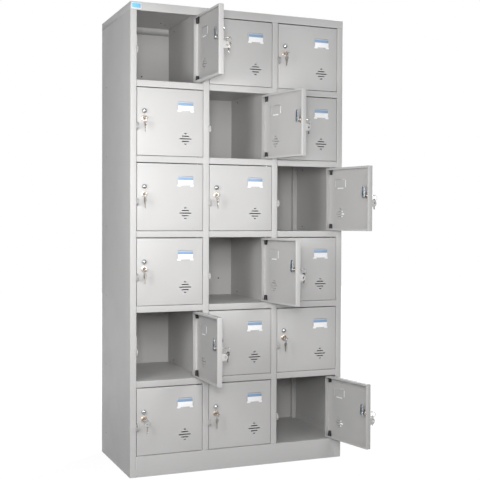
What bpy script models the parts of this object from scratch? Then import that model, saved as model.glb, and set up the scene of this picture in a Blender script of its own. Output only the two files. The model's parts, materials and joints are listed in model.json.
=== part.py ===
"""Cube locker: three columns and six rows of compartments, each with its own door and cam lock.

Metres. X runs to the right, Y from the front plane to the back, Z up from the floor.
The origin is on the floor, in the middle of the cabinet's front plane.
Rows are counted from the top and columns from the left, both from one.
"""
import math

import bmesh
import bpy
from mathutils import Vector

# Cabinet
CABINET_WIDTH = 0.915
CABINET_DEPTH = 0.450
CABINET_HEIGHT = 1.830
COLUMNS = 3
ROWS = 6
SHEET = 0.0008
FIT_GAP = 0.0003
CUT_OVERRUN = 0.002

# Front frame, as seen from the front
POST_WIDTH = 0.025
RAIL_HEIGHT = 0.025
HEADER_HEIGHT = 0.032
PLINTH_HEIGHT = 0.082
RETURN_DEPTH = 0.020
RETURN_CLEARANCE = 0.001
PLINTH_FOOT_DEPTH = 0.025

# Edges folded on the other panels
REAR_FLANGE_WIDTH = 0.025
SHELF_FLANGE = 0.018
FLOOR_FLANGE = 0.020
LAP_HEIGHT = 0.018
LAP_END_CLEARANCE = 0.030

# Door pan
DOOR_THICKNESS = 0.020
DOOR_SIDE_GAP = 0.002
DOOR_TOP_GAP = 0.0033
DOOR_BOTTOM_GAP = 0.0015
DOOR_LIP = 0.012
BUSH_NOTCH_EDGE = 0.0035
OPEN_ANGLES_DEG = {(1, 1): 91.5, (2, 2): 102.6, (3, 3): 101.8, (4, 2): 97.0, (5, 1): 91.1, (6, 3): 101.3}

# Pivots, whose axis is measured from the door's hinge edge and front face
HINGE_INSET = 0.020
HINGE_DEPTH = 0.0085
PIN_RADIUS = 0.0025
PIN_ENGAGEMENT = 0.004
BUSH_BASE_RADIUS = 0.0075
BUSH_TIP_RADIUS = 0.005
BUSH_HEIGHT = 0.0245

# Air vents in a diamond, measured from the hinge edge and the door's foot
VENT_LENGTHS = (0.010, 0.030, 0.050, 0.030, 0.010)
VENT_HEIGHT = 0.0038
VENT_PITCH = 0.0102
VENT_INSET = 0.0723
VENT_LEVEL = 0.0686

# Lock, measured from the door's free edge and foot
LOCK_INSET = 0.0283
LOCK_LEVEL = 0.1415
BEZEL_RADIUS = 0.0122
BEZEL_HEIGHT = 0.004
BARREL_RADIUS = 0.0092
BARREL_SETBACK = 0.0008
NUT_RADIUS = 0.0128
NUT_HEIGHT = 0.0035
PLUG_RADIUS = 0.0065
PLUG_PROUD = 0.0006
CAM_THICKNESS = 0.002
CAM_CLEARANCE = 0.0005
CAM_REACH = 0.040
CAM_HUB_RADIUS = 0.0095
CAM_TIP_RADIUS = 0.0065
CAM_SCREW_RADIUS = 0.0055
CAM_SCREW_HEIGHT = 0.0025

# Key left in the lock, lying level, with an oval bow of two arcs
KEY_THICKNESS = 0.002
KEY_NECK_WIDTH = 0.0075
KEY_NECK_LENGTH = 0.0124
KEY_BOW_RADIUS = 0.008
KEY_BOW_STRETCH = 0.002
KEY_EYE_RADIUS = 0.003

# Pull knob, above the lock and a little nearer the door's free edge
KNOB_RISE = 0.0287
KNOB_SHIFT = 0.0012
KNOB_RADIUS = 0.0096
KNOB_NECK_RADIUS = 0.005
KNOB_NECK_LENGTH = 0.0035
KNOB_HEIGHT = 0.0135
KNOB_FLARE_SHARE = 0.25
KNOB_DOME_ANGLES_DEG = (0, 30, 60)

# Padlock ears, one on each side of the gap
EAR_DROP = 0.031
EAR_RADIUS = 0.0135
EAR_REACH = 0.022
EAR_ROOT = 0.005
EAR_THICKNESS = 0.002
EAR_HOLE_RADIUS = 0.004
EAR_HOLE_REACH = 0.0135

# Tab that stops the door and that the cam hooks behind
TAB_WIDTH = 0.008
TAB_HEIGHT = 0.060
TAB_ROOT = 0.006

# Badge on the header
BADGE_WIDTH = 0.0385
BADGE_HEIGHT = 0.0215
BADGE_THICKNESS = 0.0006
BADGE_INSET = 0.004

# Facets of the round pieces
PIN_SIDES = 8
BUSH_SIDES = 8
LOCK_SIDES = 12
KNOB_SIDES = 10
EAR_ARC_STEPS = 6
EAR_HOLE_SIDES = 8
BOW_ARC_STEPS = 6
CAM_ARC_STEPS = 4
HEX_SIDES = 6
SHARP_ANGLE = math.radians(40)
FLAT_ANGLE = math.radians(0.1)
MERGE_DISTANCE = 0.00001

# Places worked out from the sizes above
HALF_WIDTH = CABINET_WIDTH / 2
OPENING_WIDTH = (CABINET_WIDTH - (COLUMNS + 1) * POST_WIDTH) / COLUMNS
FRAME_TOP = CABINET_HEIGHT - HEADER_HEIGHT
OPENING_HEIGHT = (FRAME_TOP - PLINTH_HEIGHT - (ROWS - 1) * RAIL_HEIGHT) / ROWS
REAR_FLANGE_FACE = CABINET_DEPTH - SHEET - FIT_GAP
SHELF_REAR = REAR_FLANGE_FACE - SHEET - FIT_GAP
DOOR_WIDTH = OPENING_WIDTH - 2 * DOOR_SIDE_GAP
DOOR_HEIGHT = OPENING_HEIGHT - DOOR_TOP_GAP - DOOR_BOTTOM_GAP
DOOR_FREE_EDGE = HINGE_INSET - DOOR_WIDTH
DOOR_FRONT = -HINGE_DEPTH
DOOR_BACK = DOOR_THICKNESS - HINGE_DEPTH
TAB_FRONT = DOOR_THICKNESS + FIT_GAP
TAB_BACK = TAB_FRONT + SHEET
CAM_FRONT = TAB_BACK + CAM_CLEARANCE
PIN_HOLE_RADIUS = PIN_RADIUS + FIT_GAP
BORE_RADIUS = PLUG_RADIUS + FIT_GAP


def opening_left(column):
    """X of the left edge of a column's opening."""
    return -HALF_WIDTH + column * POST_WIDTH + (column - 1) * OPENING_WIDTH


def opening_bottom(row):
    """Z of the bottom edge of a row's opening."""
    return PLINTH_HEIGHT + (ROWS - row) * (OPENING_HEIGHT + RAIL_HEIGHT)


def door_bottom(row):
    return opening_bottom(row) + DOOR_BOTTOM_GAP


def hinge_x(column):
    """X of a column's pivots."""
    return opening_left(column) + OPENING_WIDTH - DOOR_SIDE_GAP - HINGE_INSET


# Mesh tools
AXES = {"X": Vector((1, 0, 0)), "Y": Vector((0, 1, 0)), "Z": Vector((0, 0, 1))}


def place_point(axis, point, height):
    """A point of an outline drawn square to an axis, at a height along that axis."""
    first, second = point
    if axis == "X":
        return Vector((height, first, second))
    if axis == "Y":
        return Vector((first, height, second))
    return Vector((first, second, height))


def loose_object(name, shape):
    """Turn a bmesh into a linked object."""
    bmesh.ops.recalc_face_normals(shape, faces=shape.faces)
    mesh = bpy.data.meshes.new(name)
    shape.to_mesh(mesh)
    shape.free()
    thing = bpy.data.objects.new(name, mesh)
    bpy.context.scene.collection.objects.link(thing)
    return thing


def add_prism(shape, outline, axis, start, end):
    """Draw an outline out along an axis, into a bmesh, with both ends exactly where they are asked for."""
    near = [shape.verts.new(place_point(axis, point, start)) for point in outline]
    far = [shape.verts.new(place_point(axis, point, end)) for point in outline]
    shape.faces.new(near)
    shape.faces.new(reversed(far))
    for index, corner in enumerate(near):
        before = index - 1
        shape.faces.new((near[before], far[before], far[index], corner))


def prism(outline, axis, start, end, name="prism"):
    shape = bmesh.new()
    add_prism(shape, outline, axis, start, end)
    return loose_object(name, shape)


def rectangle(low, high):
    return [(low[0], low[1]), (high[0], low[1]), (high[0], high[1]), (low[0], high[1])]


def box(low, high, name="box"):
    return prism(rectangle(low, high), "Z", low[2], high[2], name)


def boxes(corner_pairs, name="boxes"):
    """Several boxes that don't touch, in one object."""
    shape = bmesh.new()
    for low, high in corner_pairs:
        add_prism(shape, rectangle(low, high), "Z", low[2], high[2])
    return loose_object(name, shape)


def arc(centre, radius, start_deg, end_deg, steps):
    """Points on an arc, both ends included."""
    angles = [math.radians(start_deg + (end_deg - start_deg) * step / steps) for step in range(steps + 1)]
    return [(centre[0] + radius * math.cos(turn), centre[1] + radius * math.sin(turn)) for turn in angles]


def circle(centre, radius, sides):
    return arc(centre, radius, 0, 360, sides)[:-1]


def cylinder(centre, radius, sides, axis, start, end, name="cylinder"):
    return prism(circle(centre, radius, sides), axis, start, end, name)


def turned(profile, sides, axis_point, axis, name="turned"):
    """Spin a profile of (radius, height) points, closed at the axis, about an axis."""
    shape = bmesh.new()
    centre = Vector(axis_point)
    outward = AXES["X"] if axis != "X" else AXES["Y"]
    points = [shape.verts.new(centre + outward * radius + AXES[axis] * height) for radius, height in profile]
    edges = [shape.edges.new(pair) for pair in zip(points, points[1:])]
    bmesh.ops.spin(
        shape, geom=points + edges, cent=centre, axis=AXES[axis], angle=math.tau, steps=sides, use_merge=True
    )
    bmesh.ops.remove_doubles(shape, verts=shape.verts, dist=MERGE_DISTANCE)
    return loose_object(name, shape)


def folded_outline(path, thickness):
    """Outline of a sheet whose outer side follows a path, with its thickness to the right of the path."""
    normals = []
    for (start_x, start_y), (end_x, end_y) in zip(path, path[1:]):
        length = math.hypot(end_x - start_x, end_y - start_y)
        normals.append(((end_y - start_y) / length, (start_x - end_x) / length))
    joints = [normals[0]]
    for (before_x, before_y), (after_x, after_y) in zip(normals, normals[1:]):
        spread = 1 + before_x * after_x + before_y * after_y
        joints.append(((before_x + after_x) / spread, (before_y + after_y) / spread))
    joints.append(normals[-1])
    inner = [(x + side_x * thickness, y + side_y * thickness) for (x, y), (side_x, side_y) in zip(path, joints)]
    return list(path) + inner[::-1]


def combine(target, tool, operation):
    """Run a Boolean on an object, keep its result and remove the tool."""
    modifier = target.modifiers.new("combine", "BOOLEAN")
    modifier.operation = operation
    modifier.solver = "EXACT"
    modifier.object = tool
    bpy.context.view_layer.update()
    evaluated = target.evaluated_get(bpy.context.evaluated_depsgraph_get())
    mesh = bpy.data.meshes.new_from_object(evaluated)
    target.modifiers.clear()
    old = target.data
    target.data = mesh
    bpy.data.meshes.remove(old)
    tool_mesh = tool.data
    bpy.data.objects.remove(tool)
    bpy.data.meshes.remove(tool_mesh)
    return target


def joined(target, tools):
    for tool in tools:
        combine(target, tool, "UNION")
    return target


def cut(target, tools):
    for tool in tools:
        combine(target, tool, "DIFFERENCE")
    return target


def finished_mesh(thing, name):
    """Take the mesh out of a loose object, tidied and with its round pieces smooth."""
    mesh = thing.data
    shape = bmesh.new()
    shape.from_mesh(mesh)
    bmesh.ops.dissolve_limit(
        shape, angle_limit=FLAT_ANGLE, verts=shape.verts, edges=shape.edges, delimit={"NORMAL"}
    )
    bmesh.ops.triangulate(shape, faces=shape.faces)
    shape.to_mesh(mesh)
    shape.free()
    mesh.name = name
    mesh.shade_smooth()
    mesh.set_sharp_from_angle(angle=SHARP_ANGLE)
    bpy.data.objects.remove(thing)
    return mesh


# Finishes
def linear_from_hex(code):
    """Linear colour of a six digit sRGB code."""
    parts = [int(code[index : index + 2], 16) / 255 for index in (0, 2, 4)]
    return tuple(part / 12.92 if part <= 0.04045 else ((part + 0.055) / 1.055) ** 2.4 for part in parts)


def finish(name, code, roughness, metallic):
    material = bpy.data.materials.new(name)
    material.use_nodes = True
    shader = material.node_tree.nodes["Principled BSDF"]
    colour = (*linear_from_hex(code), 1)
    shader.inputs["Base Color"].default_value = colour
    shader.inputs["Roughness"].default_value = roughness
    shader.inputs["Metallic"].default_value = metallic
    material.diffuse_color = colour
    return material


def add_node(name, mesh, material, location=(0, 0, 0), parent=None, turn_deg=0):
    """One named sub-part with its finish."""
    if not mesh.materials:
        mesh.materials.append(material)
    node = bpy.data.objects.new(name, mesh)
    node.location = location
    node.rotation_euler = (0, 0, math.radians(turn_deg))
    node.parent = parent
    bpy.context.scene.collection.objects.link(node)
    return node


# Padlock ears and stop tabs
def ears(left, front_plane, levels, name="ears"):
    """Half round ears standing out of a front plane, square to it."""
    hub = front_plane - EAR_REACH + EAR_RADIUS
    root = front_plane + EAR_ROOT
    shape = bmesh.new()
    for level in levels:
        outline = [(root, level + EAR_RADIUS)]
        outline += arc((hub, level), EAR_RADIUS, 90, 270, EAR_ARC_STEPS)
        outline.append((root, level - EAR_RADIUS))
        add_prism(shape, outline, "X", left, left + EAR_THICKNESS)
    return loose_object(name, shape)


def ear_holes(left, front_plane, levels, name="ear_holes"):
    shape = bmesh.new()
    for level in levels:
        outline = circle((front_plane - EAR_HOLE_REACH, level), EAR_HOLE_RADIUS, EAR_HOLE_SIDES)
        add_prism(shape, outline, "X", left - CUT_OVERRUN, left + EAR_THICKNESS + CUT_OVERRUN)
    return loose_object(name, shape)


def stop_tabs(post_edge, levels):
    """Tabs behind the free edges of the doors: arms on the post's return, and plates across them."""
    arms = []
    plates = []
    for level in levels:
        low = level - TAB_HEIGHT / 2
        high = level + TAB_HEIGHT / 2
        arms.append(((post_edge - SHEET, RETURN_DEPTH - TAB_ROOT, low), (post_edge, TAB_BACK, high)))
        plates.append(((post_edge - SHEET, TAB_FRONT, low), (post_edge + TAB_WIDTH, TAB_BACK, high)))
    return [boxes(arms), boxes(plates)]


# Cabinet panels
def upright_outline():
    """Section of a side panel or partition from above, with its left face at zero."""
    path = [
        (POST_WIDTH, RETURN_DEPTH),
        (POST_WIDTH, 0),
        (0, 0),
        (0, REAR_FLANGE_FACE),
        (REAR_FLANGE_WIDTH, REAR_FLANGE_FACE),
    ]
    return folded_outline(path, SHEET)


def furnish_upright(thing):
    """Add the padlock ears and stop tabs of the column to the upright's right."""
    ear_levels = [door_bottom(row) + LOCK_LEVEL - EAR_DROP for row in range(1, ROWS + 1)]
    lock_levels = [door_bottom(row) + LOCK_LEVEL for row in range(1, ROWS + 1)]
    left = POST_WIDTH - EAR_THICKNESS
    joined(thing, stop_tabs(POST_WIDTH, lock_levels) + [ears(left, 0, ear_levels)])
    cut(thing, [ear_holes(left, 0, ear_levels)])
    return thing


def side_panel_shell():
    """Side panel from the floor up, with a joggled lap that stands inside the top tray."""
    panel = prism(upright_outline(), "Z", 0, FRAME_TOP - FIT_GAP)
    front = LAP_END_CLEARANCE
    back = REAR_FLANGE_FACE - LAP_END_CLEARANCE
    inner = SHEET + FIT_GAP
    bottom = FRAME_TOP - LAP_HEIGHT
    joggle = box((SHEET / 2, front, bottom), (inner + SHEET, back, FRAME_TOP - FIT_GAP))
    lap = box((inner, front, bottom), (inner + SHEET, back, FRAME_TOP + LAP_HEIGHT))
    return joined(panel, [joggle, lap])


def mirrored(thing):
    """Mirror an object left to right."""
    shape = bmesh.new()
    shape.from_mesh(thing.data)
    bmesh.ops.scale(shape, vec=(-1, 1, 1), verts=shape.verts)
    bmesh.ops.reverse_faces(shape, faces=shape.faces)
    shape.to_mesh(thing.data)
    shape.free()
    return thing


def partition_shell():
    """Partition from the base to the tray's sheet, set back from the header above the stile."""
    stile = prism(upright_outline(), "Z", PLINTH_HEIGHT + FIT_GAP, FRAME_TOP - FIT_GAP)
    web = box(
        (0, RETURN_DEPTH + RETURN_CLEARANCE, FRAME_TOP - RAIL_HEIGHT),
        (SHEET, REAR_FLANGE_FACE, CABINET_HEIGHT - SHEET - FIT_GAP),
    )
    return joined(stile, [web])


def pin_holes(places, bottom, top):
    """Cutters for the hinge pins at some X places, through whatever lies between two heights."""
    shape = bmesh.new()
    for place in places:
        outline = circle((place, HINGE_DEPTH), PIN_HOLE_RADIUS, PIN_SIDES)
        add_prism(shape, outline, "Z", bottom, top)
    return loose_object("pin_holes", shape)


def all_hinges():
    return [hinge_x(column) for column in range(1, COLUMNS + 1)]


def top_panel_shell():
    """Tray with its edges turned down, and a return behind the header that holds the top pins."""
    tray = box((-HALF_WIDTH, 0, FRAME_TOP), (HALF_WIDTH, CABINET_DEPTH, CABINET_HEIGHT))
    hollow = box(
        (-HALF_WIDTH + SHEET, SHEET, FRAME_TOP - CUT_OVERRUN),
        (HALF_WIDTH - SHEET, CABINET_DEPTH - SHEET, CABINET_HEIGHT - SHEET),
    )
    cut(tray, [hollow])
    header_return = box(
        (-HALF_WIDTH + SHEET / 2, SHEET / 2, FRAME_TOP), (HALF_WIDTH - SHEET / 2, RETURN_DEPTH, FRAME_TOP + SHEET)
    )
    joined(tray, [header_return])
    return cut(tray, [pin_holes(all_hinges(), FRAME_TOP - CUT_OVERRUN, FRAME_TOP + SHEET + CUT_OVERRUN)])


def notched_outline(front_left, front_right, left, right, rear):
    """Plan of a floor that passes between two posts and widens behind them."""
    shoulder = RETURN_DEPTH + RETURN_CLEARANCE
    outline = [(front_left, 0), (front_right, 0)]
    if right > front_right:
        outline += [(front_right, shoulder), (right, shoulder)]
    outline += [(right, rear), (left, rear)]
    if left < front_left:
        outline += [(left, shoulder), (front_left, shoulder)]
    return outline


def base_panel_shell():
    """Floor of the bottom row, turned up at the sides and down at the back."""
    left = -HALF_WIDTH + SHEET + FIT_GAP
    front_left = -HALF_WIDTH + POST_WIDTH + FIT_GAP
    floor_bottom = PLINTH_HEIGHT - SHEET
    floor = prism(
        notched_outline(front_left, -front_left, left, -left, SHELF_REAR), "Z", floor_bottom, PLINTH_HEIGHT
    )
    shoulder = RETURN_DEPTH + RETURN_CLEARANCE
    side_top = PLINTH_HEIGHT + FLOOR_FLANGE
    sides = boxes(
        [
            ((left, shoulder, floor_bottom), (left + SHEET, SHELF_REAR, side_top)),
            ((-left - SHEET, shoulder, floor_bottom), (-left, SHELF_REAR, side_top)),
        ]
    )
    rear = box((left, SHELF_REAR - SHEET, PLINTH_HEIGHT - FLOOR_FLANGE), (-left, SHELF_REAR, PLINTH_HEIGHT))
    joined(floor, [sides, rear])
    return cut(floor, [pin_holes(all_hinges(), floor_bottom - CUT_OVERRUN, PLINTH_HEIGHT + CUT_OVERRUN)])


def plinth_shell():
    """Kick plate between the posts, with a foot on the floor and a ledge under the base."""
    top = PLINTH_HEIGHT - SHEET - FIT_GAP
    path = [(PLINTH_FOOT_DEPTH, 0), (0, 0), (0, top), (RETURN_DEPTH, top)]
    half = HALF_WIDTH - POST_WIDTH - FIT_GAP
    kick = prism(folded_outline(path, SHEET), "X", -half, half)
    return cut(kick, [pin_holes(all_hinges(), top - SHEET - CUT_OVERRUN, top + CUT_OVERRUN)])


def shelf_shell(last_column):
    """Shelf with its front rail, drawn from the opening's left edge and from the shelf's top face."""
    left = -POST_WIDTH + SHEET + FIT_GAP
    front_left = FIT_GAP
    front_right = OPENING_WIDTH - FIT_GAP
    right = OPENING_WIDTH + POST_WIDTH - SHEET - FIT_GAP if last_column else front_right
    shoulder = RETURN_DEPTH + RETURN_CLEARANCE
    plate = prism(notched_outline(front_left, front_right, left, right, SHELF_REAR), "Z", -SHEET, 0)
    rail_path = [(RETURN_DEPTH, -RAIL_HEIGHT), (0, -RAIL_HEIGHT), (0, 0)]
    rail = prism(folded_outline(rail_path, SHEET), "X", front_left, front_right)
    sides = boxes(
        [
            ((left, shoulder, -SHELF_FLANGE), (left + SHEET, SHELF_REAR, 0)),
            ((right - SHEET, shoulder, -SHELF_FLANGE), (right, SHELF_REAR, 0)),
        ]
    )
    rear = box((left, SHELF_REAR - SHEET, -SHELF_FLANGE), (right, SHELF_REAR, 0))
    joined(plate, [rail, sides, rear])
    hinge = hinge_x(1) - opening_left(1)
    return cut(plate, [pin_holes([hinge], -RAIL_HEIGHT - CUT_OVERRUN, CUT_OVERRUN)])


# Doors, drawn from the hinge axis and the door's foot, closed
def mouth_outline():
    """Edge of the lips round the back of the pan, stepped out round the two bushes."""
    left = DOOR_FREE_EDGE + DOOR_LIP
    right = HINGE_INSET - DOOR_LIP
    high = DOOR_HEIGHT - DOOR_LIP
    notch_high = DOOR_HEIGHT - BUSH_NOTCH_EDGE
    low_side = [(left, DOOR_LIP), (-right, DOOR_LIP), (-right, BUSH_NOTCH_EDGE), (right, BUSH_NOTCH_EDGE)]
    return low_side + [(right, notch_high), (-right, notch_high), (-right, high), (left, high)]


def pan():
    """Folded pan: front sheet, four flanges and a lip all round the back."""
    shell = box((DOOR_FREE_EDGE, DOOR_FRONT, 0), (HINGE_INSET, DOOR_BACK, DOOR_HEIGHT))
    hollow = box(
        (DOOR_FREE_EDGE + SHEET, DOOR_FRONT + SHEET, SHEET),
        (HINGE_INSET - SHEET, DOOR_BACK - SHEET, DOOR_HEIGHT - SHEET),
    )
    mouth = prism(mouth_outline(), "Y", 0, DOOR_BACK + CUT_OVERRUN)
    return cut(shell, [hollow, mouth])


def bush(foot, direction):
    """Tapered bush in a hinge corner, standing from a flange towards the door's middle."""
    profile = [
        (0, 0),
        (BUSH_BASE_RADIUS, 0),
        (BUSH_TIP_RADIUS, direction * BUSH_HEIGHT),
        (0, direction * BUSH_HEIGHT),
    ]
    return turned(profile, BUSH_SIDES, (0, 0, foot), "Z", "bush")


def hinge_pin(inner, outer):
    return cylinder((0, 0), PIN_RADIUS, PIN_SIDES, "Z", min(inner, outer), max(inner, outer), "pin")


def lock_x():
    return DOOR_FREE_EDGE + LOCK_INSET


def knob():
    """Domed pull on a neck, turned about an axis square to the door."""
    shoulder = KNOB_NECK_LENGTH + (KNOB_HEIGHT - KNOB_NECK_LENGTH) * KNOB_FLARE_SHARE
    dome = KNOB_HEIGHT - shoulder
    profile = [(0, SHEET / 2), (KNOB_NECK_RADIUS, SHEET / 2), (KNOB_NECK_RADIUS, -KNOB_NECK_LENGTH)]
    for angle in map(math.radians, KNOB_DOME_ANGLES_DEG):
        profile.append((KNOB_RADIUS * math.cos(angle), -shoulder - dome * math.sin(angle)))
    profile.append((0, -KNOB_HEIGHT))
    return turned(profile, KNOB_SIDES, (lock_x() - KNOB_SHIFT, DOOR_FRONT, LOCK_LEVEL + KNOB_RISE), "Y", "knob")


def lock_housing():
    """Bezel, barrel and fixing nut of the lock."""
    place = (lock_x(), LOCK_LEVEL)
    sheet_back = DOOR_FRONT + SHEET
    bezel = cylinder(place, BEZEL_RADIUS, LOCK_SIDES, "Y", DOOR_FRONT - BEZEL_HEIGHT, DOOR_FRONT + SHEET / 2)
    barrel = cylinder(place, BARREL_RADIUS, LOCK_SIDES, "Y", DOOR_FRONT, DOOR_BACK - BARREL_SETBACK)
    nut = cylinder(place, NUT_RADIUS, HEX_SIDES, "Y", DOOR_FRONT + SHEET / 2, sheet_back + NUT_HEIGHT)
    return [bezel, barrel, nut]


def vents():
    """Cutters for the five slots."""
    pairs = []
    centre = HINGE_INSET - VENT_INSET
    middle = (len(VENT_LENGTHS) - 1) / 2
    for index, length in enumerate(VENT_LENGTHS):
        level = VENT_LEVEL + (middle - index) * VENT_PITCH
        low = (centre - length / 2, DOOR_FRONT - CUT_OVERRUN, level - VENT_HEIGHT / 2)
        high = (centre + length / 2, DOOR_FRONT + SHEET + CUT_OVERRUN, level + VENT_HEIGHT / 2)
        pairs.append((low, high))
    return boxes(pairs, "vents")


def door_shell():
    door = pan()
    top_flange = DOOR_HEIGHT - SHEET
    fittings = [
        bush(SHEET / 2, 1),
        bush(DOOR_HEIGHT - SHEET / 2, -1),
        hinge_pin(SHEET / 2, -DOOR_BOTTOM_GAP - SHEET - PIN_ENGAGEMENT),
        hinge_pin(top_flange + SHEET / 2, DOOR_HEIGHT + DOOR_TOP_GAP + SHEET + PIN_ENGAGEMENT),
        knob(),
        ears(DOOR_FREE_EDGE, DOOR_FRONT, [LOCK_LEVEL - EAR_DROP]),
    ]
    joined(door, fittings + lock_housing())
    bore = cylinder(
        (lock_x(), LOCK_LEVEL),
        BORE_RADIUS,
        LOCK_SIDES,
        "Y",
        DOOR_FRONT - BEZEL_HEIGHT - CUT_OVERRUN,
        DOOR_BACK + CUT_OVERRUN,
    )
    return cut(door, [vents(), ear_holes(DOOR_FREE_EDGE, DOOR_FRONT, [LOCK_LEVEL - EAR_DROP]), bore])


# Lock, drawn from its axis and the door's front face, with the cam up
def cam():
    """Flat cam with a round hub and tip."""
    outline = arc((0, 0), CAM_HUB_RADIUS, 180, 360, CAM_ARC_STEPS)
    outline += arc((0, CAM_REACH - CAM_TIP_RADIUS), CAM_TIP_RADIUS, 0, 180, CAM_ARC_STEPS)
    return prism(outline, "Y", CAM_FRONT, CAM_FRONT + CAM_THICKNESS, "cam")


def key():
    """Neck and oval bow of the key, level in the plug, with an eye in the bow."""
    face = -BEZEL_HEIGHT - PLUG_PROUD
    bow_centre = face - KEY_NECK_LENGTH - KEY_BOW_STRETCH - KEY_BOW_RADIUS
    half = KEY_THICKNESS / 2
    neck = box((-KEY_NECK_WIDTH / 2, bow_centre, -half), (KEY_NECK_WIDTH / 2, face / 2, half))
    outline = arc((0, bow_centre - KEY_BOW_STRETCH), KEY_BOW_RADIUS, 180, 360, BOW_ARC_STEPS)
    outline += arc((0, bow_centre + KEY_BOW_STRETCH), KEY_BOW_RADIUS, 0, 180, BOW_ARC_STEPS)
    bow = prism(outline, "Z", -half, half, "bow")
    eye = cylinder((0, bow_centre), KEY_EYE_RADIUS, PIN_SIDES, "Z", -half - CUT_OVERRUN, half + CUT_OVERRUN)
    return neck, bow, eye


def lock_shell():
    face = -BEZEL_HEIGHT - PLUG_PROUD
    cam_back = CAM_FRONT + CAM_THICKNESS
    plug = cylinder((0, 0), PLUG_RADIUS, LOCK_SIDES, "Y", face, CAM_FRONT + CAM_THICKNESS / 2, "plug")
    screw = cylinder(
        (0, 0), CAM_SCREW_RADIUS, HEX_SIDES, "Y", CAM_FRONT + CAM_THICKNESS / 2, cam_back + CAM_SCREW_HEIGHT
    )
    neck, bow, eye = key()
    joined(plug, [cam(), screw, neck, bow])
    return cut(plug, [eye])


def badge_shell():
    """Blank plate on the header, near its left end."""
    left = -HALF_WIDTH + BADGE_INSET
    middle = CABINET_HEIGHT - HEADER_HEIGHT / 2
    low = (left, -FIT_GAP - BADGE_THICKNESS, middle - BADGE_HEIGHT / 2)
    high = (left + BADGE_WIDTH, -FIT_GAP, middle + BADGE_HEIGHT / 2)
    return box(low, high)


def clear_scene():
    for thing in list(bpy.data.objects):
        bpy.data.objects.remove(thing)


def build_cabinet(powder_coat, badge_face):
    """The fixed panels."""
    left_side = finished_mesh(furnish_upright(side_panel_shell()), "left_side_panel")
    right_side = finished_mesh(mirrored(side_panel_shell()), "right_side_panel")
    partition = finished_mesh(furnish_upright(partition_shell()), "partition")
    back_low = (-HALF_WIDTH, CABINET_DEPTH - SHEET, 0)
    back = finished_mesh(box(back_low, (HALF_WIDTH, CABINET_DEPTH, FRAME_TOP - FIT_GAP)), "back_panel")
    add_node("left_side_panel", left_side, powder_coat, (-HALF_WIDTH, 0, 0))
    add_node("right_side_panel", right_side, powder_coat, (HALF_WIDTH, 0, 0))
    add_node("left_partition", partition, powder_coat, (opening_left(2) - POST_WIDTH, 0, 0))
    add_node("right_partition", partition, powder_coat, (opening_left(3) - POST_WIDTH, 0, 0))
    add_node("back_panel", back, powder_coat)
    add_node("top_panel", finished_mesh(top_panel_shell(), "top_panel"), powder_coat)
    add_node("base_panel", finished_mesh(base_panel_shell(), "base_panel"), powder_coat)
    add_node("plinth", finished_mesh(plinth_shell(), "plinth"), powder_coat)
    add_node("badge_plate", finished_mesh(badge_shell(), "badge_plate"), badge_face)


def build_shelves(powder_coat):
    inner = finished_mesh(shelf_shell(False), "shelf")
    outer = finished_mesh(shelf_shell(True), "shelf_last_column")
    for row in range(1, ROWS):
        for column in range(1, COLUMNS + 1):
            mesh = outer if column == COLUMNS else inner
            place = (opening_left(column), 0, opening_bottom(row))
            add_node(f"shelf_r{row}_c{column}", mesh, powder_coat, place)


def build_doors(powder_coat, lock_metal):
    door_mesh = finished_mesh(door_shell(), "door")
    lock_mesh = finished_mesh(lock_shell(), "lock")
    for row in range(1, ROWS + 1):
        for column in range(1, COLUMNS + 1):
            place = (hinge_x(column), HINGE_DEPTH, door_bottom(row))
            turn = OPEN_ANGLES_DEG.get((row, column), 0)
            door = add_node(f"door_r{row}_c{column}", door_mesh, powder_coat, place, turn_deg=turn)
            lock_place = (lock_x(), DOOR_FRONT, LOCK_LEVEL)
            add_node(f"lock_r{row}_c{column}", lock_mesh, lock_metal, lock_place, parent=door)


def main():
    clear_scene()
    powder_coat = finish("powder_coated_steel", "C6C7C6", 0.42, 0.0)
    lock_metal = finish("nickel_plated_brass", "B8AE9A", 0.3, 1.0)
    badge_face = finish("printed_plate", "3E9BD6", 0.35, 0.0)
    build_cabinet(powder_coat, badge_face)
    build_shelves(powder_coat)
    build_doors(powder_coat, lock_metal)


main()
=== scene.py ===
"""Finished pieces of a steel cube locker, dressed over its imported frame.

Metres, in the frame's axes: X to the right, Y to the back and Z up, with the origin on the floor in the middle of
the front plane. Rows are counted from the top and columns from the left.
"""
import json
import math

import bmesh
import bpy
from bpy.props import FloatProperty, FloatVectorProperty, IntProperty, PointerProperty
from mathutils import Matrix, Vector


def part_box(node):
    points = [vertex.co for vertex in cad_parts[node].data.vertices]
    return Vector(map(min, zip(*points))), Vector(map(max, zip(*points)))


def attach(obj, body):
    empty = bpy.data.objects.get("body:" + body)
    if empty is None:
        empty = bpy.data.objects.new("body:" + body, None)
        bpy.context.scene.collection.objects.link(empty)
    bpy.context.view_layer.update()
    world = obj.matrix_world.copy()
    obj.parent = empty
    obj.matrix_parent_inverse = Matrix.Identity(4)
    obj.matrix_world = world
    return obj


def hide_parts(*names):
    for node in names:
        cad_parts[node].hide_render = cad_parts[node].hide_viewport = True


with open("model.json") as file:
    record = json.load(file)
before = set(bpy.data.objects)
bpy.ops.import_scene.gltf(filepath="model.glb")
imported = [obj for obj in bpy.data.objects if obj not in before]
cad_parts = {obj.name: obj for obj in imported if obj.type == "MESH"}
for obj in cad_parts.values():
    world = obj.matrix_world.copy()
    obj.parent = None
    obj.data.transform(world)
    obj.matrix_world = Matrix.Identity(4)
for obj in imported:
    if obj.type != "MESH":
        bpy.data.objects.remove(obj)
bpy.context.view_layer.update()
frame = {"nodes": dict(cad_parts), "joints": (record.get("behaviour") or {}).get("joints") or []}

bl_info = {
    "name": "Cube Locker",
    "version": (1, 0, 0),
    "blender": (4, 5, 0),
    "location": "3D View > Sidebar > Locker",
    "description": "Builds the finished pieces of a steel cube locker",
    "category": "Add Mesh",
}

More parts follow.
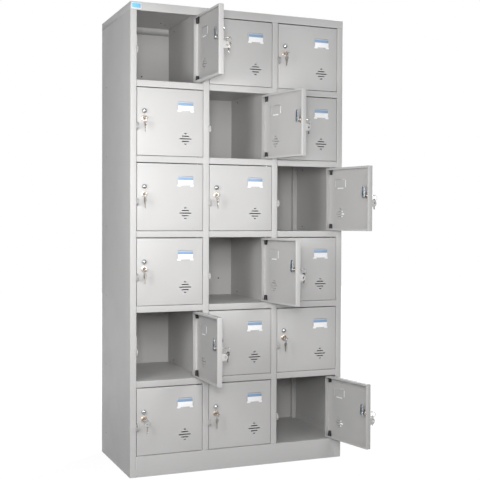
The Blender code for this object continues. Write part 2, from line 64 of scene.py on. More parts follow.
# What the frame says
JOINTS = {joint["name"]: joint for joint in frame["joints"]}
TRAY_LOW, TRAY_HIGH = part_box("top_panel")
POST_LOW, POST_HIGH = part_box("right_side_panel")
SHELF_LOW, SHELF_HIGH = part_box("shelf_r1_c1")
NEXT_SHELF_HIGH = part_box("shelf_r2_c1")[1]
KICK_LOW, KICK_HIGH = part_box("plinth")
DOOR_LOW, DOOR_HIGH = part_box("door_r1_c2")
LOCK_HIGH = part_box("lock_r1_c2")[1]
BADGE_LOW, BADGE_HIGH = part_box("badge_plate")
ROWS = 6
COLUMNS = 3
CELLS = [(row, column) for row in range(1, ROWS + 1) for column in range(1, COLUMNS + 1)]

HALF_WIDTH = TRAY_HIGH.x
DEPTH = TRAY_HIGH.y
HEIGHT = TRAY_HIGH.z
FRAME_TOP = TRAY_LOW.z
POST = POST_HIGH.x - POST_LOW.x
RAIL = SHELF_HIGH.z - SHELF_LOW.z
OPENING_WIDTH = (2 * HALF_WIDTH - (COLUMNS + 1) * POST) / COLUMNS
PITCH = SHELF_HIGH.z - NEXT_SHELF_HIGH.z
OPENING_HEIGHT = PITCH - RAIL
FLOOR = SHELF_HIGH.z - (ROWS - 1) * PITCH
PANEL_REAR = POST_HIGH.y
SHELF_REAR = SHELF_HIGH.y

# The door in its own axes: its pivot and foot are the origin, and it is closed
HINGE = Vector(JOINTS["door_r1_c2_hinge"]["pos_m"])
DOOR_HINGE_EDGE = DOOR_HIGH.x - HINGE.x
DOOR_FREE_EDGE = DOOR_LOW.x - HINGE.x
DOOR_FRONT = -HINGE.y
LOCK_AXIS = Vector(JOINTS["lock_r1_c2_turn"]["pos_m"]) - HINGE

# The paint of every folded piece, and what all meshes share: the distance under which points are one, the angle
# under which faces are smooth, the steps of a bend and the rounding of a stamped edge
PAINT = "powder_coated_steel"
WELD = 0.000005
SMOOTH_DEG = 35
BEND_STEPS = 4
STAMPED_EDGE = 0.0003


def linear(code):
    """Linear colour of a six digit sRGB code."""
    parts = [int(code[index : index + 2], 16) / 255 for index in (0, 2, 4)]
    return tuple(part / 12.92 if part <= 0.04045 else ((part + 0.055) / 1.055) ** 2.4 for part in parts)


def length(name, description, default):
    return FloatProperty(name=name, description=description, default=default, min=0.0, unit="LENGTH", precision=4)


def angle(name, description, default):
    return FloatProperty(name=name, description=description, default=math.radians(default), unit="ROTATION")


def number(name, description, default):
    return FloatProperty(name=name, description=description, default=default)


def colour(name, description, code):
    return FloatVectorProperty(
        name=name, description=description, default=linear(code), subtype="COLOR", size=3, min=0.0, max=1.0
    )


class CabinetSettings(bpy.types.PropertyGroup):
    """Sizes and paint of the fixed panels."""

    sheet: length("Sheet", "Thickness of the sheet steel", 0.0008)
    bend: length("Bend radius", "Outer radius of each fold", 0.0016)
    fit_gap: length("Fit gap", "Clearance between two panels that meet", 0.0003)
    fold: length("Frame return", "Depth of the fold behind the front frame", 0.020)
    rear_fold: length("Rear post", "Width of the post folded at the back of a side", 0.021)
    rear_depth: length("Rear post depth", "Depth of the post folded at the back of a side", 0.018)
    fold_gap: length("Fold gap", "Clearance behind the fold of the front frame", 0.001)
    shelf_fold: length("Shelf fold", "Height of the edges turned down under a shelf", 0.018)
    floor_fold: length("Floor fold", "Height of the edges turned up round the floor", 0.020)
    floor_gap: length("Floor gap", "Gap between the floor's side edges and the sides", 0.003)
    floor_notch: length("Floor notch", "Gap between the floor's side edges and the rear post", 0.008)
    kick_foot: length("Plinth foot", "Depth of the plinth's fold on the floor", 0.025)
    lap: length("Lap", "How far a side's lap stands up inside the top tray", 0.018)
    lap_inset: length("Lap inset", "From the front and from the back to a side's lap", 0.030)
    rivet_low: length("Low rivets", "From an opening's floor up to the rivets in its walls", 0.0165)
    rivet_high: length("High rivets", "From an opening's ceiling up to the rivets over it", 0.0085)
    rivet_radius: length("Rivet radius", "Radius of a blind rivet's head", 0.0032)
    rivet_height: length("Rivet height", "Height of a blind rivet's head", 0.0013)
    paint: colour("Paint", "Light grey powder coat", "C2C1C0")


class DoorSettings(bpy.types.PropertyGroup):
    """Sizes of the doors, measured from the hinge edge, the free edge or the door's foot."""

    thickness: length("Thickness", "Depth of the door pan", 0.020)
    top_gap: length("Top gap", "Gap over a closed door", 0.0033)
    foot_gap: length("Foot gap", "Gap under a closed door", 0.0015)
    lip: length("Lip", "Width of the lip round the back", 0.0085)
    vent_centre: length("Vent inset", "From the hinge edge to the middle of the vent", 0.0723)
    vent_level: length("Vent level", "From the foot to the middle of the vent", 0.0686)
    vent_slots: IntProperty(name="Vent slots", description="Number of slots in the vent", default=5, min=1)
    vent_longest: length("Longest slot", "Length of the vent's middle slot", 0.050)
    vent_step: length("Slot step", "How much shorter each next slot is", 0.020)
    vent_pitch: length("Slot pitch", "From one slot to the next", 0.0102)
    vent_height: length("Slot height", "Height of a slot", 0.0038)
    card_centre: length("Card inset", "From the hinge edge to the middle of the card", 0.0713)
    card_level: length("Card level", "From the foot to the lower edge of the card", 0.173)
    card_width: length("Card width", "Width of the name card", 0.067)
    card_height: length("Card height", "Height of the name card", 0.0355)
    card_band: length("Card band", "Height of the printed band on the card", 0.0112)
    clip_top: length("Top clip", "Length of the pressed clip over the card", 0.0606)
    clip_foot: length("Foot clip", "Length of the pressed clip under the card", 0.040)
    clip_side: length("Side clip", "Length of the pressed clips beside the card", 0.0325)
    clip_width: length("Clip width", "Width of a pressed clip over or under the card", 0.0048)
    clip_narrow: length("Narrow clip", "Width of a pressed clip beside the card", 0.0043)
    clip_cover: length("Clip cover", "How much of the card a side clip covers", 0.0027)
    clip_head: length("Clip head", "How much of the card the top clip covers", 0.001)
    clip_lean: length("Clip lean", "How far the top clip leans over the card from its slit", 0.001)
    clip_rise: length("Clip rise", "How far a clip is pressed out of the door", 0.0014)
    bush_base: length("Bush base", "Radius of a pivot bush at its base", 0.008)
    bush_tip: length("Bush tip", "Radius of a pivot bush at its tip", 0.005)
    bush_height: length("Bush height", "Height of a pivot bush", 0.0275)
    pin_radius: length("Pin radius", "Radius of a pivot pin", 0.0025)
    pin_reach: length("Pin reach", "How far a pin goes past the sheet that holds it", 0.004)
    ear_radius: length("Ear radius", "Radius of a padlock ear", 0.0135)
    ear_reach: length("Ear reach", "How far an ear stands out", 0.022)
    ear_thickness: length("Ear thickness", "Thickness of an ear", 0.002)
    ear_hole: length("Ear hole", "Radius of the hole for the shackle", 0.004)
    ear_hole_reach: length("Ear hole reach", "From the front to the middle of the hole", 0.0135)
    ear_drop: length("Ear drop", "From the lock down to the ear", 0.031)
    ear_inset: length("Ear inset", "From the door's edge or the post's edge to the ear's face", 0.0003)
    tab_height: length("Tab height", "Height of a stop tab", 0.060)
    tab_width: length("Tab width", "Width of a stop tab", 0.008)
    tab_catch: length("Tab catch", "Depth of the fold that the cam locks behind", 0.006)
    band_print: colour("Band print", "Printed band on the card", "86A9CE")
    badge_print: colour("Badge face", "Plain face of the badge", "7CC5E8")


class LockSettings(bpy.types.PropertyGroup):
    """Sizes of the knob, the cam lock and its keys."""

    bezel_radius: length("Bezel radius", "Radius of the lock's face ring", 0.0122)
    bezel_height: length("Bezel height", "How far the lock's face stands out", 0.004)
    barrel_radius: length("Barrel radius", "Radius of the threaded barrel", 0.0092)
    thread_pitch: length("Thread pitch", "Pitch of the barrel's thread", 0.00125)
    nut_radius: length("Nut radius", "Radius of the fixing nut over its corners", 0.0128)
    nut_height: length("Nut height", "Height of the fixing nut", 0.0035)
    plug_radius: length("Plug radius", "Radius of the plug that turns", 0.0065)
    plug_proud: length("Plug stand", "How far the plug stands out of the ring", 0.0006)
    cam_thickness: length("Cam thickness", "Thickness of the cam", 0.002)
    cam_reach: length("Cam reach", "From the axis to the cam's tip", 0.0385)
    cam_hub: length("Cam hub", "Radius of the cam's hub", 0.0095)
    cam_tip: length("Cam tip", "Radius of the cam's tip", 0.0065)
    cam_screw: length("Cam screw", "Radius of the cam's screw head", 0.0055)
    screw_height: length("Screw height", "Height of the cam's screw head", 0.0019)
    washer: length("Washer", "Thickness of the washer under the cam's screw", 0.0006)
    knob_rise: length("Knob rise", "From the lock up to the knob", 0.0287)
    knob_shift: length("Knob shift", "From over the lock to the knob, towards the free edge", 0.0012)
    knob_radius: length("Knob radius", "Radius of the pull knob", 0.0096)
    knob_neck: length("Knob neck", "Radius of the knob's neck", 0.005)
    knob_height: length("Knob height", "How far the knob stands out", 0.0135)
    key_thickness: length("Key thickness", "Thickness of a key", 0.002)
    bow_radius: length("Bow radius", "Radius of the two arcs of a key's bow", 0.008)
    bow_stretch: length("Bow stretch", "From the bow's middle to the centre of either arc", 0.002)
    eye_radius: length("Eye radius", "Radius of the eye in a key's bow", 0.003)
    neck_length: length("Neck length", "From the plug to the bow of the key in the lock", 0.0124)
    neck_width: length("Neck width", "Width of a key's neck", 0.0075)
    shoulder: length("Shoulder", "From a key's bow to its shoulders", 0.005)
    blade_length: length("Blade length", "From a key's shoulders to its tip", 0.0171)
    ring_radius: length("Ring radius", "Radius of the split ring", 0.0115)
    ring_wire: length("Ring wire", "Radius of the split ring's wire", 0.0007)
    ring_reach: length("Ring reach", "From the eye of the key in the lock to the ring's middle, in plan", 0.006)
    ring_drop: length("Ring drop", "From the lock's axis down to the ring's middle", 0.0091)
    ring_turn: angle("Ring turn", "Turn of the ring from square to the door towards the free edge", 52)
    ring_swing: angle("Ring swing", "How much the ring's turn varies from door to door", 4)
    spare_turn: angle("Spare turn", "Turn of the spare key's face towards the free edge", 77)
    spare_swing: angle("Spare swing", "How much the spare key's turn varies from door to door", 12)


class StageSettings(bpy.types.PropertyGroup):
    """Floor, lamps and camera."""

    floor_half: length("Floor half width", "Half the width of the floor", 9.0)
    floor_paint: colour("Floor", "Pale studio floor", "A8A8A8")
    floor_shadow: number("Floor shadow", "Share of the shadow that shows", 0.35)
    floor_white: number("Floor white", "White seen beside that share, so that the open floor reads 1", 1.42)
    shadow_near: length("Shadow near", "Distance from the middle at which the shadow starts to fade", 1.0)
    shadow_far: length("Shadow far", "Distance from the middle at which the shadow has gone", 2.4)
    ambient: number("Ambient", "Strength of the even light all round", 0.1)
    ambient_tint: colour("Ambient colour", "Even light all round, a little cool", "F2F6FF")
    front_power: number("Front lamp", "Power of the lamp over the camera", 42.0)
    middle_power: number("Middle lamp", "Power of the lamp before the middle", 18.0)
    near_power: number("Near lamp", "Power of the small lamp before the doors", 4.5)
    side_power: number("Side lamp", "Power of the small lamp beside the left post", 6.0)
    left_power: number("Left lamp", "Power of the lamp at the left", 12.0)
    right_power: number("Right lamp", "Power of the lamp at the right", 9.0)
    rear_power: number("Rear lamp", "Power of the lamp over the rear corner", 110.0)
    camera_place: FloatVectorProperty(
        name="Camera", description="Place of the camera", default=(-1.40442, -3.43368, 0.99102), unit="LENGTH"
    )
    camera_yaw: number("Yaw", "Turn to the right of straight ahead", 0.3874)
    camera_pitch: number("Pitch", "Tilt below level", 0.0202)
    camera_roll: number("Roll", "Clockwise tilt of the frame", -0.0035)
    camera_lens: number("Lens", "Focal length in millimetres", 69.29)


# Places
def opening_left(column):
    """X of the left edge of a column's opening."""
    return -HALF_WIDTH + column * POST + (column - 1) * OPENING_WIDTH


def opening_floor(row):
    """Z of the floor of a row's opening."""
    return FLOOR + (ROWS - row) * PITCH


def shift(x=0, y=0, z=0):
    """Matrix of a move."""
    return Matrix.Translation((x, y, z))


def spin(turn_deg, axis):
    """Matrix of a turn about an axis through the origin."""
    return Matrix.Rotation(math.radians(turn_deg), 4, axis)


def door_axes(row, column, doors):
    """Matrix from a door's own axes to the frame's, as the door stands in the photo."""
    joint = JOINTS[f"door_r{row}_c{column}_hinge"]
    x, y, _ = joint["pos_m"]
    return shift(x, y, opening_floor(row) + doors.foot_gap) @ spin(-joint["range_deg"][0], "Z")


def lock_place(doors):
    """The lock's axis on the door's front face, in the door's axes."""
    foot = opening_floor(1) + doors.foot_gap
    return Vector((LOCK_AXIS.x, DOOR_FRONT, JOINTS["lock_r1_c2_turn"]["pos_m"][2] - foot))


def axes(right, up, out, origin=(0, 0, 0)):
    """Matrix that lays a drawing's X, Y and Z along three directions."""
    rows = zip(right, up, out, origin)
    return Matrix([*rows, (0, 0, 0, 1)])


# Drawings whose X runs to the back and Y up, drawn out to the right
ACROSS = axes((0, 1, 0), (0, 0, 1), (1, 0, 0))
# Drawings whose X runs to the right and Y up, drawn out to the front
FORWARD = axes((1, 0, 0), (0, 0, 1), (0, -1, 0))


# Node trees
def feed(tree, node, inputs):
    """Set a node's inputs, or link them to a socket or to another node's first output."""
    for name, value in inputs.items():
        if isinstance(value, bpy.types.Node):
            value = value.outputs[0]
        if isinstance(value, bpy.types.NodeSocket):
            tree.links.new(value, node.inputs[name])
        else:
            node.inputs[name].default_value = value


def add(tree, kind, inputs=None, **settings):
    """Add a node with its settings and its inputs."""
    node = tree.nodes.new(kind)
    for name, value in settings.items():
        setattr(node, name, value)
    feed(tree, node, inputs or {})
    return node


def calc(tree, operation, *values, **settings):
    """A sum of one or two values."""
    return add(tree, "ShaderNodeMath", dict(enumerate(values)), operation=operation, **settings)


def new_tree(name, **sockets):
    """A geometry tree that takes geometry, a material and named sizes, which are listed by their kind."""
    tree = bpy.data.node_groups.new(name, "GeometryNodeTree")
    for kind, labels in {"Geometry": ["Geometry"], **sockets, "Material": ["Material"]}.items():
        for label in labels:
            tree.interface.new_socket(label, in_out="INPUT", socket_type="NodeSocket" + kind)
    tree.interface.new_socket("Geometry", in_out="OUTPUT", socket_type="NodeSocketGeometry")
    return tree, add(tree, "NodeGroupInput").outputs


def end_tree(tree, size, geometry):
    """Close a tree with real meshes and their material."""
    real = add(tree, "GeometryNodeRealizeInstances", {"Geometry": geometry})
    dressed = add(tree, "GeometryNodeSetMaterial", {"Geometry": real, "Material": size["Material"]})
    add(tree, "NodeGroupOutput", {"Geometry": dressed})


def rounded(tree, curve, radius):
    """A curve with round corners."""
    inputs = {"Curve": curve, "Radius": radius, "Count": BEND_STEPS, "Limit Radius": True}
    return add(tree, "GeometryNodeFilletCurve", inputs, mode="POLY")


def swept(tree, surface, sweep):
    """The closed solid that a surface sweeps out."""
    sides = add(tree, "GeometryNodeExtrudeMesh", {"Mesh": surface, "Individual": False, **sweep}, mode="FACES")
    start = add(tree, "GeometryNodeFlipFaces", {"Mesh": surface})
    both = add(tree, "GeometryNodeJoinGeometry")
    for part in (sides, start):
        tree.links.new(part.outputs[0], both.inputs[0])
    return add(tree, "GeometryNodeMergeByDistance", {"Geometry": both, "Distance": 2 * WELD})


def folded_sheet_tree():
    """A section line becomes a folded sheet: its corners are rounded and it is drawn out along Z."""
    tree, size = new_tree("folded_sheet", Float=["Reach", "Bend Radius", "Sheet"])
    line = add(tree, "GeometryNodeMeshToCurve", {"Mesh": size["Geometry"]})
    edge = add(tree, "GeometryNodeCurveToMesh", {"Curve": rounded(tree, line, size["Bend Radius"])})
    up = add(tree, "ShaderNodeCombineXYZ", {"Z": size["Reach"]})
    side = add(tree, "GeometryNodeExtrudeMesh", {"Mesh": edge, "Offset": up}, mode="EDGES")
    end_tree(tree, size, swept(tree, side, {"Offset Scale": size["Sheet"]}))


def vent_slots_tree():
    """Cutters for a row of slots one over another, longest in the middle, with round ends."""
    tree, size = new_tree("vent_slots", Int=["Slots"], Float=["Longest", "Step", "Pitch", "Height", "Depth"])
    spots = add(tree, "GeometryNodeMeshLine", {"Count": size["Slots"]})
    middle = calc(tree, "DIVIDE", calc(tree, "SUBTRACT", size["Slots"], 1.0), 2.0)
    offset = calc(tree, "SUBTRACT", add(tree, "GeometryNodeInputIndex"), middle)
    place = add(tree, "ShaderNodeCombineXYZ", {"Y": calc(tree, "MULTIPLY", offset, size["Pitch"])})
    placed = add(tree, "GeometryNodeSetPosition", {"Geometry": spots, "Position": place})
    shorter = calc(tree, "MULTIPLY", calc(tree, "ABSOLUTE", offset), size["Step"])
    long = calc(tree, "SUBTRACT", size["Longest"], shorter)
    stretch = add(tree, "ShaderNodeCombineXYZ", {"X": long, "Y": size["Height"], "Z": 1.0})
    unit = add(tree, "GeometryNodeCurvePrimitiveQuadrilateral", {"Width": 1.0, "Height": 1.0})
    slots = add(tree, "GeometryNodeInstanceOnPoints", {"Points": placed, "Instance": unit, "Scale": stretch})
    real = add(tree, "GeometryNodeRealizeInstances", {"Geometry": slots})
    # Just under half the height, because corners rounded by the full half would meet in one point
    ends = rounded(tree, real, calc(tree, "MULTIPLY", size["Height"], 0.499))
    face = add(tree, "GeometryNodeFillCurve", {"Curve": ends}, mode="NGONS")
    end_tree(tree, size, swept(tree, face, {"Offset": add(tree, "ShaderNodeCombineXYZ", {"Z": size["Depth"]})}))


def rivet_heads_tree():
    """A low domed head on each point, facing the way that the point's facing attribute says."""
    tree, size = new_tree("rivet_heads", Float=["Radius", "Head Height"])
    ball = add(tree, "GeometryNodeMeshUVSphere", {"Segments": 10, "Rings": 6, "Radius": 1.0})
    squash = add(tree, "ShaderNodeCombineXYZ", {"X": size["Radius"], "Y": size["Radius"], "Z": size["Head Height"]})
    facing = add(tree, "GeometryNodeInputNamedAttribute", {"Name": "facing"}, data_type="FLOAT_VECTOR")
    turn = add(tree, "FunctionNodeAlignRotationToVector", {"Vector": facing}, axis="Z")
    inputs = {"Points": size["Geometry"], "Instance": ball, "Rotation": turn, "Scale": squash}
    heads = add(tree, "GeometryNodeInstanceOnPoints", inputs)
    end_tree(tree, size, add(tree, "GeometryNodeSetShadeSmooth", {"Geometry": heads}))


def coil_tree():
    """A round wire wound along Z: a split ring, or a thread round a barrel."""
    tree, size = new_tree("coil", Float=["Turns", "Radius", "Wire", "Rise"], Int=["Steps", "Sides"])
    winding = {
        "Resolution": size["Steps"], "Rotations": size["Turns"], "Start Radius": size["Radius"],
        "End Radius": size["Radius"], "Height": size["Rise"],
    }
    path = add(tree, "GeometryNodeCurveSpiral", winding)
    wire = add(tree, "GeometryNodeCurvePrimitiveCircle", {"Resolution": size["Sides"], "Radius": size["Wire"]})
    inputs = {"Curve": path, "Profile Curve": wire, "Fill Caps": True}
    end_tree(tree, size, add(tree, "GeometryNodeCurveToMesh", inputs))


def repeat_tree():
    """The given piece, repeated at an even pitch."""
    tree, size = new_tree("repeat", Int=["Count"], Vector=["Pitch"])
    spots = add(tree, "GeometryNodeMeshLine", {"Count": size["Count"], "Offset": size["Pitch"]})
    end_tree(tree, size, add(tree, "GeometryNodeInstanceOnPoints", {"Points": spots, "Instance": size["Geometry"]}))


# Mesh tools
def linked(name, data):
    thing = bpy.data.objects.new(name, data)
    bpy.context.scene.collection.objects.link(thing)
    return thing


def plain(thing):
    """The plain mesh of an object as its modifiers leave it. The object goes."""
    graph = bpy.context.evaluated_depsgraph_get()
    mesh = bpy.data.meshes.new_from_object(thing.evaluated_get(graph), depsgraph=graph)
    bpy.data.objects.remove(thing)
    return mesh


def points_mesh(points, edges=(), faces=()):
    mesh = bpy.data.meshes.new("points")
    mesh.from_pydata([tuple(point) for point in points], edges, faces)
    return mesh


def grown(tree_name, mesh=None, **sizes):
    """Run a geometry tree on its own or over a mesh, with its inputs set by their names in lower case."""
    tree = bpy.data.node_groups[tree_name]
    thing = linked("growing", mesh or points_mesh([]))
    modifier = thing.modifiers.new(tree_name, "NODES")
    modifier.node_group = tree
    for socket in tree.interface.items_tree:
        given = socket.name.lower().replace(" ", "_")
        if socket.in_out == "INPUT" and given in sizes:
            modifier[socket.identifier] = sizes[given]
    return plain(thing)


def opened(mesh):
    """A bmesh of a mesh."""
    shape = bmesh.new()
    shape.from_mesh(mesh)
    return shape


def smoothed(mesh, smooth_deg=SMOOTH_DEG):
    mesh.shade_smooth()
    mesh.set_sharp_from_angle(angle=math.radians(smooth_deg))
    return mesh


def from_shape(shape, material=None, smooth_deg=SMOOTH_DEG):
    """A mesh from a bmesh, merged, facing out and smooth where it is round."""
    bmesh.ops.remove_doubles(shape, verts=shape.verts, dist=WELD)
    bmesh.ops.recalc_face_normals(shape, faces=shape.faces)
    mesh = bpy.data.meshes.new("shape")
    shape.to_mesh(mesh)
    shape.free()
    if material:
        mesh.materials.append(material)
    return smoothed(mesh, smooth_deg)


def folded(section, reach, matrix=Matrix.Identity(4)):
    """A folded sheet drawn from a section line, which is its outer side. The sheet lies on the line's right."""
    cabinet = bpy.context.scene.locker_cabinet
    points = [(x, y, 0) for x, y in reversed(section)]
    line = points_mesh(points, list(zip(range(len(points) - 1), range(1, len(points)))))
    sizes = {"reach": reach, "bend_radius": cabinet.bend, "sheet": cabinet.sheet}
    mesh = grown("folded_sheet", line, material=finish(PAINT), **sizes)
    shape = opened(mesh)
    if shape.calc_volume(signed=True) < 0:
        bmesh.ops.reverse_faces(shape, faces=shape.faces)
    shape.transform(matrix)
    shape.to_mesh(mesh)
    shape.free()
    return smoothed(mesh)


def plate(outlines, thickness, edge, material):
    """A flat plate with eased edges, centred in its thickness. Outlines inside the first are holes."""
    curve = bpy.data.curves.new("plate", "CURVE")
    curve.dimensions = "2D"
    curve.fill_mode = "BOTH"
    curve.extrude = thickness / 2 - edge
    curve.bevel_depth = edge
    curve.bevel_resolution = 1
    curve.offset = -edge
    for outline in outlines:
        spline = curve.splines.new("POLY")
        spline.points.add(len(outline) - 1)
        for point, (x, y) in zip(spline.points, outline):
            point.co = (x, y, 0, 1)
        spline.use_cyclic_u = True
    mesh = plain(linked("plate", curve))
    bpy.data.curves.remove(curve)
    mesh.materials.clear()
    return from_shape(opened(mesh), material, smooth_deg=40)


def turned(profile, steps, material, smooth_deg=SMOOTH_DEG):
    """Spin a profile of (radius, height) points about Z. Both ends lie on the axis or it is a closed ring."""
    shape = bmesh.new()
    points = [shape.verts.new((radius, 0, height)) for radius, height in profile]
    edges = [shape.edges.new(pair) for pair in zip(points, points[1:])]
    bmesh.ops.spin(
        shape, geom=points + edges, cent=(0, 0, 0), axis=(0, 0, 1), angle=math.tau, steps=steps, use_merge=True
    )
    return from_shape(shape, material, smooth_deg)


def arc(centre, radius, start_deg, end_deg, steps):
    """Points on an arc, both ends included."""
    turns = [math.radians(start_deg + (end_deg - start_deg) * step / steps) for step in range(steps + 1)]
    return [(centre[0] + radius * math.cos(turn), centre[1] + radius * math.sin(turn)) for turn in turns]


def circle(radius, steps, centre=(0, 0)):
    return arc(centre, radius, 0, 360, steps)[:-1]


def moved(mesh, matrix):
    mesh.transform(matrix)
    return mesh


def merged(meshes):
    """One mesh out of several, with their materials kept. The parts go."""
    things = [linked("part", mesh) for mesh in meshes]
    with bpy.context.temp_override(
        active_object=things[0], object=things[0], selected_objects=things, selected_editable_objects=things
    ):
        bpy.ops.object.join()
    mesh = things[0].data
    bpy.data.objects.remove(things[0])
    return mesh


def thickened(mesh, sheet):
    """Give a surface the thickness of its sheet, to the inside."""
    thing = linked("shell", mesh)
    solid = thing.modifiers.new("sheet", "SOLIDIFY")
    solid.thickness = sheet
    solid.offset = -1
    solid.use_even_offset = True
    return plain(thing)


def cut(mesh, *cutters):
    """Take cutters out of a mesh."""
    thing = linked("cutting", mesh)
    tools = [linked("cutter", cutter) for cutter in cutters]
    for tool in tools:
        modifier = thing.modifiers.new("cut", "BOOLEAN")
        modifier.operation = "DIFFERENCE"
        modifier.solver = "EXACT"
        modifier.object = tool
    result = plain(thing)
    for tool in tools:
        bpy.data.objects.remove(tool)
    return result


def block(shape, low, high, matrix):
    """Add a box between two corners to a bmesh."""
    low, high = Vector(low), Vector(high)
    made = bmesh.ops.create_cube(shape, size=1)["verts"]
    bmesh.ops.scale(shape, vec=high - low, verts=made)
    bmesh.ops.transform(shape, matrix=matrix @ Matrix.Translation((low + high) / 2), verts=made)


def settle(name, mesh, body="cabinet", matrix=None, replaces=()):
    """Put a copy of a mesh in its place on a body, as a finished piece."""
    placed = mesh.copy()
    placed.name = name
    if matrix:
        placed.transform(matrix)
    piece = linked(name, placed)
    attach(piece, body)
    if replaces:
        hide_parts(*replaces)


# Finishes
def noise(tree, place, size_mm, detail=2.0):
    """Noise whose blotches are about a size across, in millimetres."""
    return add(tree, "ShaderNodeTexNoise", {"Vector": place, "Scale": 1000 / size_mm, "Detail": detail})


def blotches(tree, place, size_mm, low, high, detail=2.0):
    """Noise spread over a range. Nearly all of it lies between 0.3 and 0.7."""
    value = noise(tree, place, size_mm, detail)
    ends = {"Value": value, "From Min": 0.3, "From Max": 0.7, "To Min": low, "To Max": high}
    return add(tree, "ShaderNodeMapRange", ends)


def new_finish(name, tint, tone=None, rough=0.5, metallic=0.0, peel=None):
    """A material whose tint varies by a tone, with a roughness and, if it has a peel, fine bumps.

    A tone, and a roughness that varies, are blotches: their size in mm, low and high value and, if asked, detail. A
    peel is its bumps' size and depth in mm, their strength and detail.
    """
    material = bpy.data.materials.new(name)
    material.use_nodes = True
    tree = material.node_tree
    place = add(tree, "ShaderNodeTexCoord").outputs["Object"]
    look = {"Base Color": (*tint, 1), "Roughness": rough, "Metallic": metallic}
    if tone:
        shade = {0: tuple(tint), "Scale": blotches(tree, place, *tone)}
        look["Base Color"] = add(tree, "ShaderNodeVectorMath", shade, operation="SCALE")
    if isinstance(rough, tuple):
        look["Roughness"] = blotches(tree, place, *rough)
    if peel:
        size_mm, depth_mm, strength, detail = peel
        bumps = {"Height": noise(tree, place, size_mm, detail), "Distance": depth_mm / 1000, "Strength": strength}
        look["Normal"] = add(tree, "ShaderNodeBump", bumps)
    feed(tree, tree.nodes["Principled BSDF"], look)
    return tree, place


def powder_coat(tint):
    """Powder coated steel, sprayed and baked. Its fine orange peel blurs reflections into a soft sheen."""
    # The real peel is under a millimetre across; it is drawn at 2.5 mm so that it shows
    peel = (2.5, 0.05, 0.25, 1.0)
    new_finish(PAINT, tint, (240, 0.985, 1.015, 3.0), rough=(60, 0.40, 0.48), peel=peel)


def chromed_zinc():
    """Die cast zinc, polished and chrome plated. It mirrors the room with a faint haze."""
    new_finish("chromed_zinc", linear("B4B7BB"), rough=(3, 0.07, 0.14), metallic=1.0)


def nickel_brass():
    """Turned brass with thin nickel plate, which lets some warmth through where keys rub it."""
    plate_tint, brass_tint = linear("DED3C8"), linear("C2B4A5")
    tree, place = new_finish("nickel_plated_brass", plate_tint, rough=(1.5, 0.22, 0.34), metallic=1.0)
    rubbed = blotches(tree, place, 6, 0.0, 1.0, 3.0)
    tints = {"Factor": rubbed, "A": (*plate_tint, 1), "B": (*brass_tint, 1)}
    mix = add(tree, "ShaderNodeMix", tints, data_type="RGBA")
    # A mix node has a socket of each kind under one name, so its colour result is found by its type
    result = next(socket for socket in mix.outputs if socket.type == "RGBA")
    feed(tree, tree.nodes["Principled BSDF"], {"Base Color": result})


def nickel_silver():
    """Key blanks stamped from nickel silver: a pale warm metal, bright where it is handled."""
    new_finish("nickel_silver", linear("CFC9C0"), (5, 0.92, 1.05, 3.0), rough=(2, 0.20, 0.32), metallic=1.0)


def zinc_steel():
    """Pins, screws and rings of steel with bright zinc plate, slightly blue and cloudy."""
    new_finish("zinc_plated_steel", linear("AEB8C0"), (4, 0.85, 1.1, 3.0), rough=(2, 0.25, 0.42), metallic=1.0)


def bright_zinc():
    """Stamped cam with bright blue passivated zinc plate, which mirrors its surroundings softly."""
    new_finish("blue_passivated_zinc", linear("CBD6E0"), (8, 0.92, 1.04, 3.0), rough=(3, 0.22, 0.32), metallic=1.0)


def blackened_steel():
    """Nuts of steel with a black oxide skin, dipped and oiled: dark, with a dull sheen. On the rivets in the
    compartments the same dark tint is painted shade, standing in for the shaded compartment that bright heads would
    mirror.
    """
    new_finish("blackened_steel", linear("26272A"), (3, 0.8, 1.2), rough=0.45, metallic=0.6)


def black_nylon():
    """Injection moulded nylon, black, with the fine grain of its mould."""
    new_finish("black_nylon", linear("0E0E10"), (5, 0.8, 1.3), rough=0.55, peel=(0.8, 0.03, 0.4, 2.0))


def card_stock():
    """Coated white card, cut and slid under the clips. Its fibres give it a slight tooth."""
    new_finish("card_stock", linear("FDFDFF"), (8, 0.97, 1.0, 3.0), rough=0.6, peel=(0.6, 0.02, 0.3, 3.0))


def printed_film(name, tint):
    """Printed face under clear film: even ink with a soft gloss."""
    new_finish(name, tint, (12, 0.96, 1.04), rough=0.35)


def finish(name):
    """A finish that the first operator made."""
    return bpy.data.materials[name]


class LOCKER_OT_finishes(bpy.types.Operator):
    """Make the finishes and the node trees that the other steps use"""

    bl_idname = "locker.finishes"
    bl_label = "Finishes"

    def execute(self, context):
        powder_coat(context.scene.locker_cabinet.paint)
        printed_film("blue_print", context.scene.locker_doors.band_print)
        printed_film("badge_film", context.scene.locker_doors.badge_print)
        for make in (
            chromed_zinc, nickel_brass, nickel_silver, zinc_steel, bright_zinc, blackened_steel, black_nylon,
            card_stock, folded_sheet_tree, vent_slots_tree, rivet_heads_tree, coil_tree, repeat_tree,
        ):
            make()
        return {"FINISHED"}


# Cabinet
def upright_section(cabinet):
    """Section of a side or partition from above, with its left face at zero. A hollow post closes its back."""
    post = PANEL_REAR - cabinet.rear_depth
    front = [(POST, cabinet.fold), (POST, 0), (0, 0)]
    return front + [
        (0, PANEL_REAR), (cabinet.rear_fold, PANEL_REAR), (cabinet.rear_fold, post), (2 * cabinet.sheet, post)
    ]


def mirrored_section(section):
    """The same section turned over, run the other way round so that its sheet stays inside."""
    return [(-x, y) for x, y in reversed(section)]


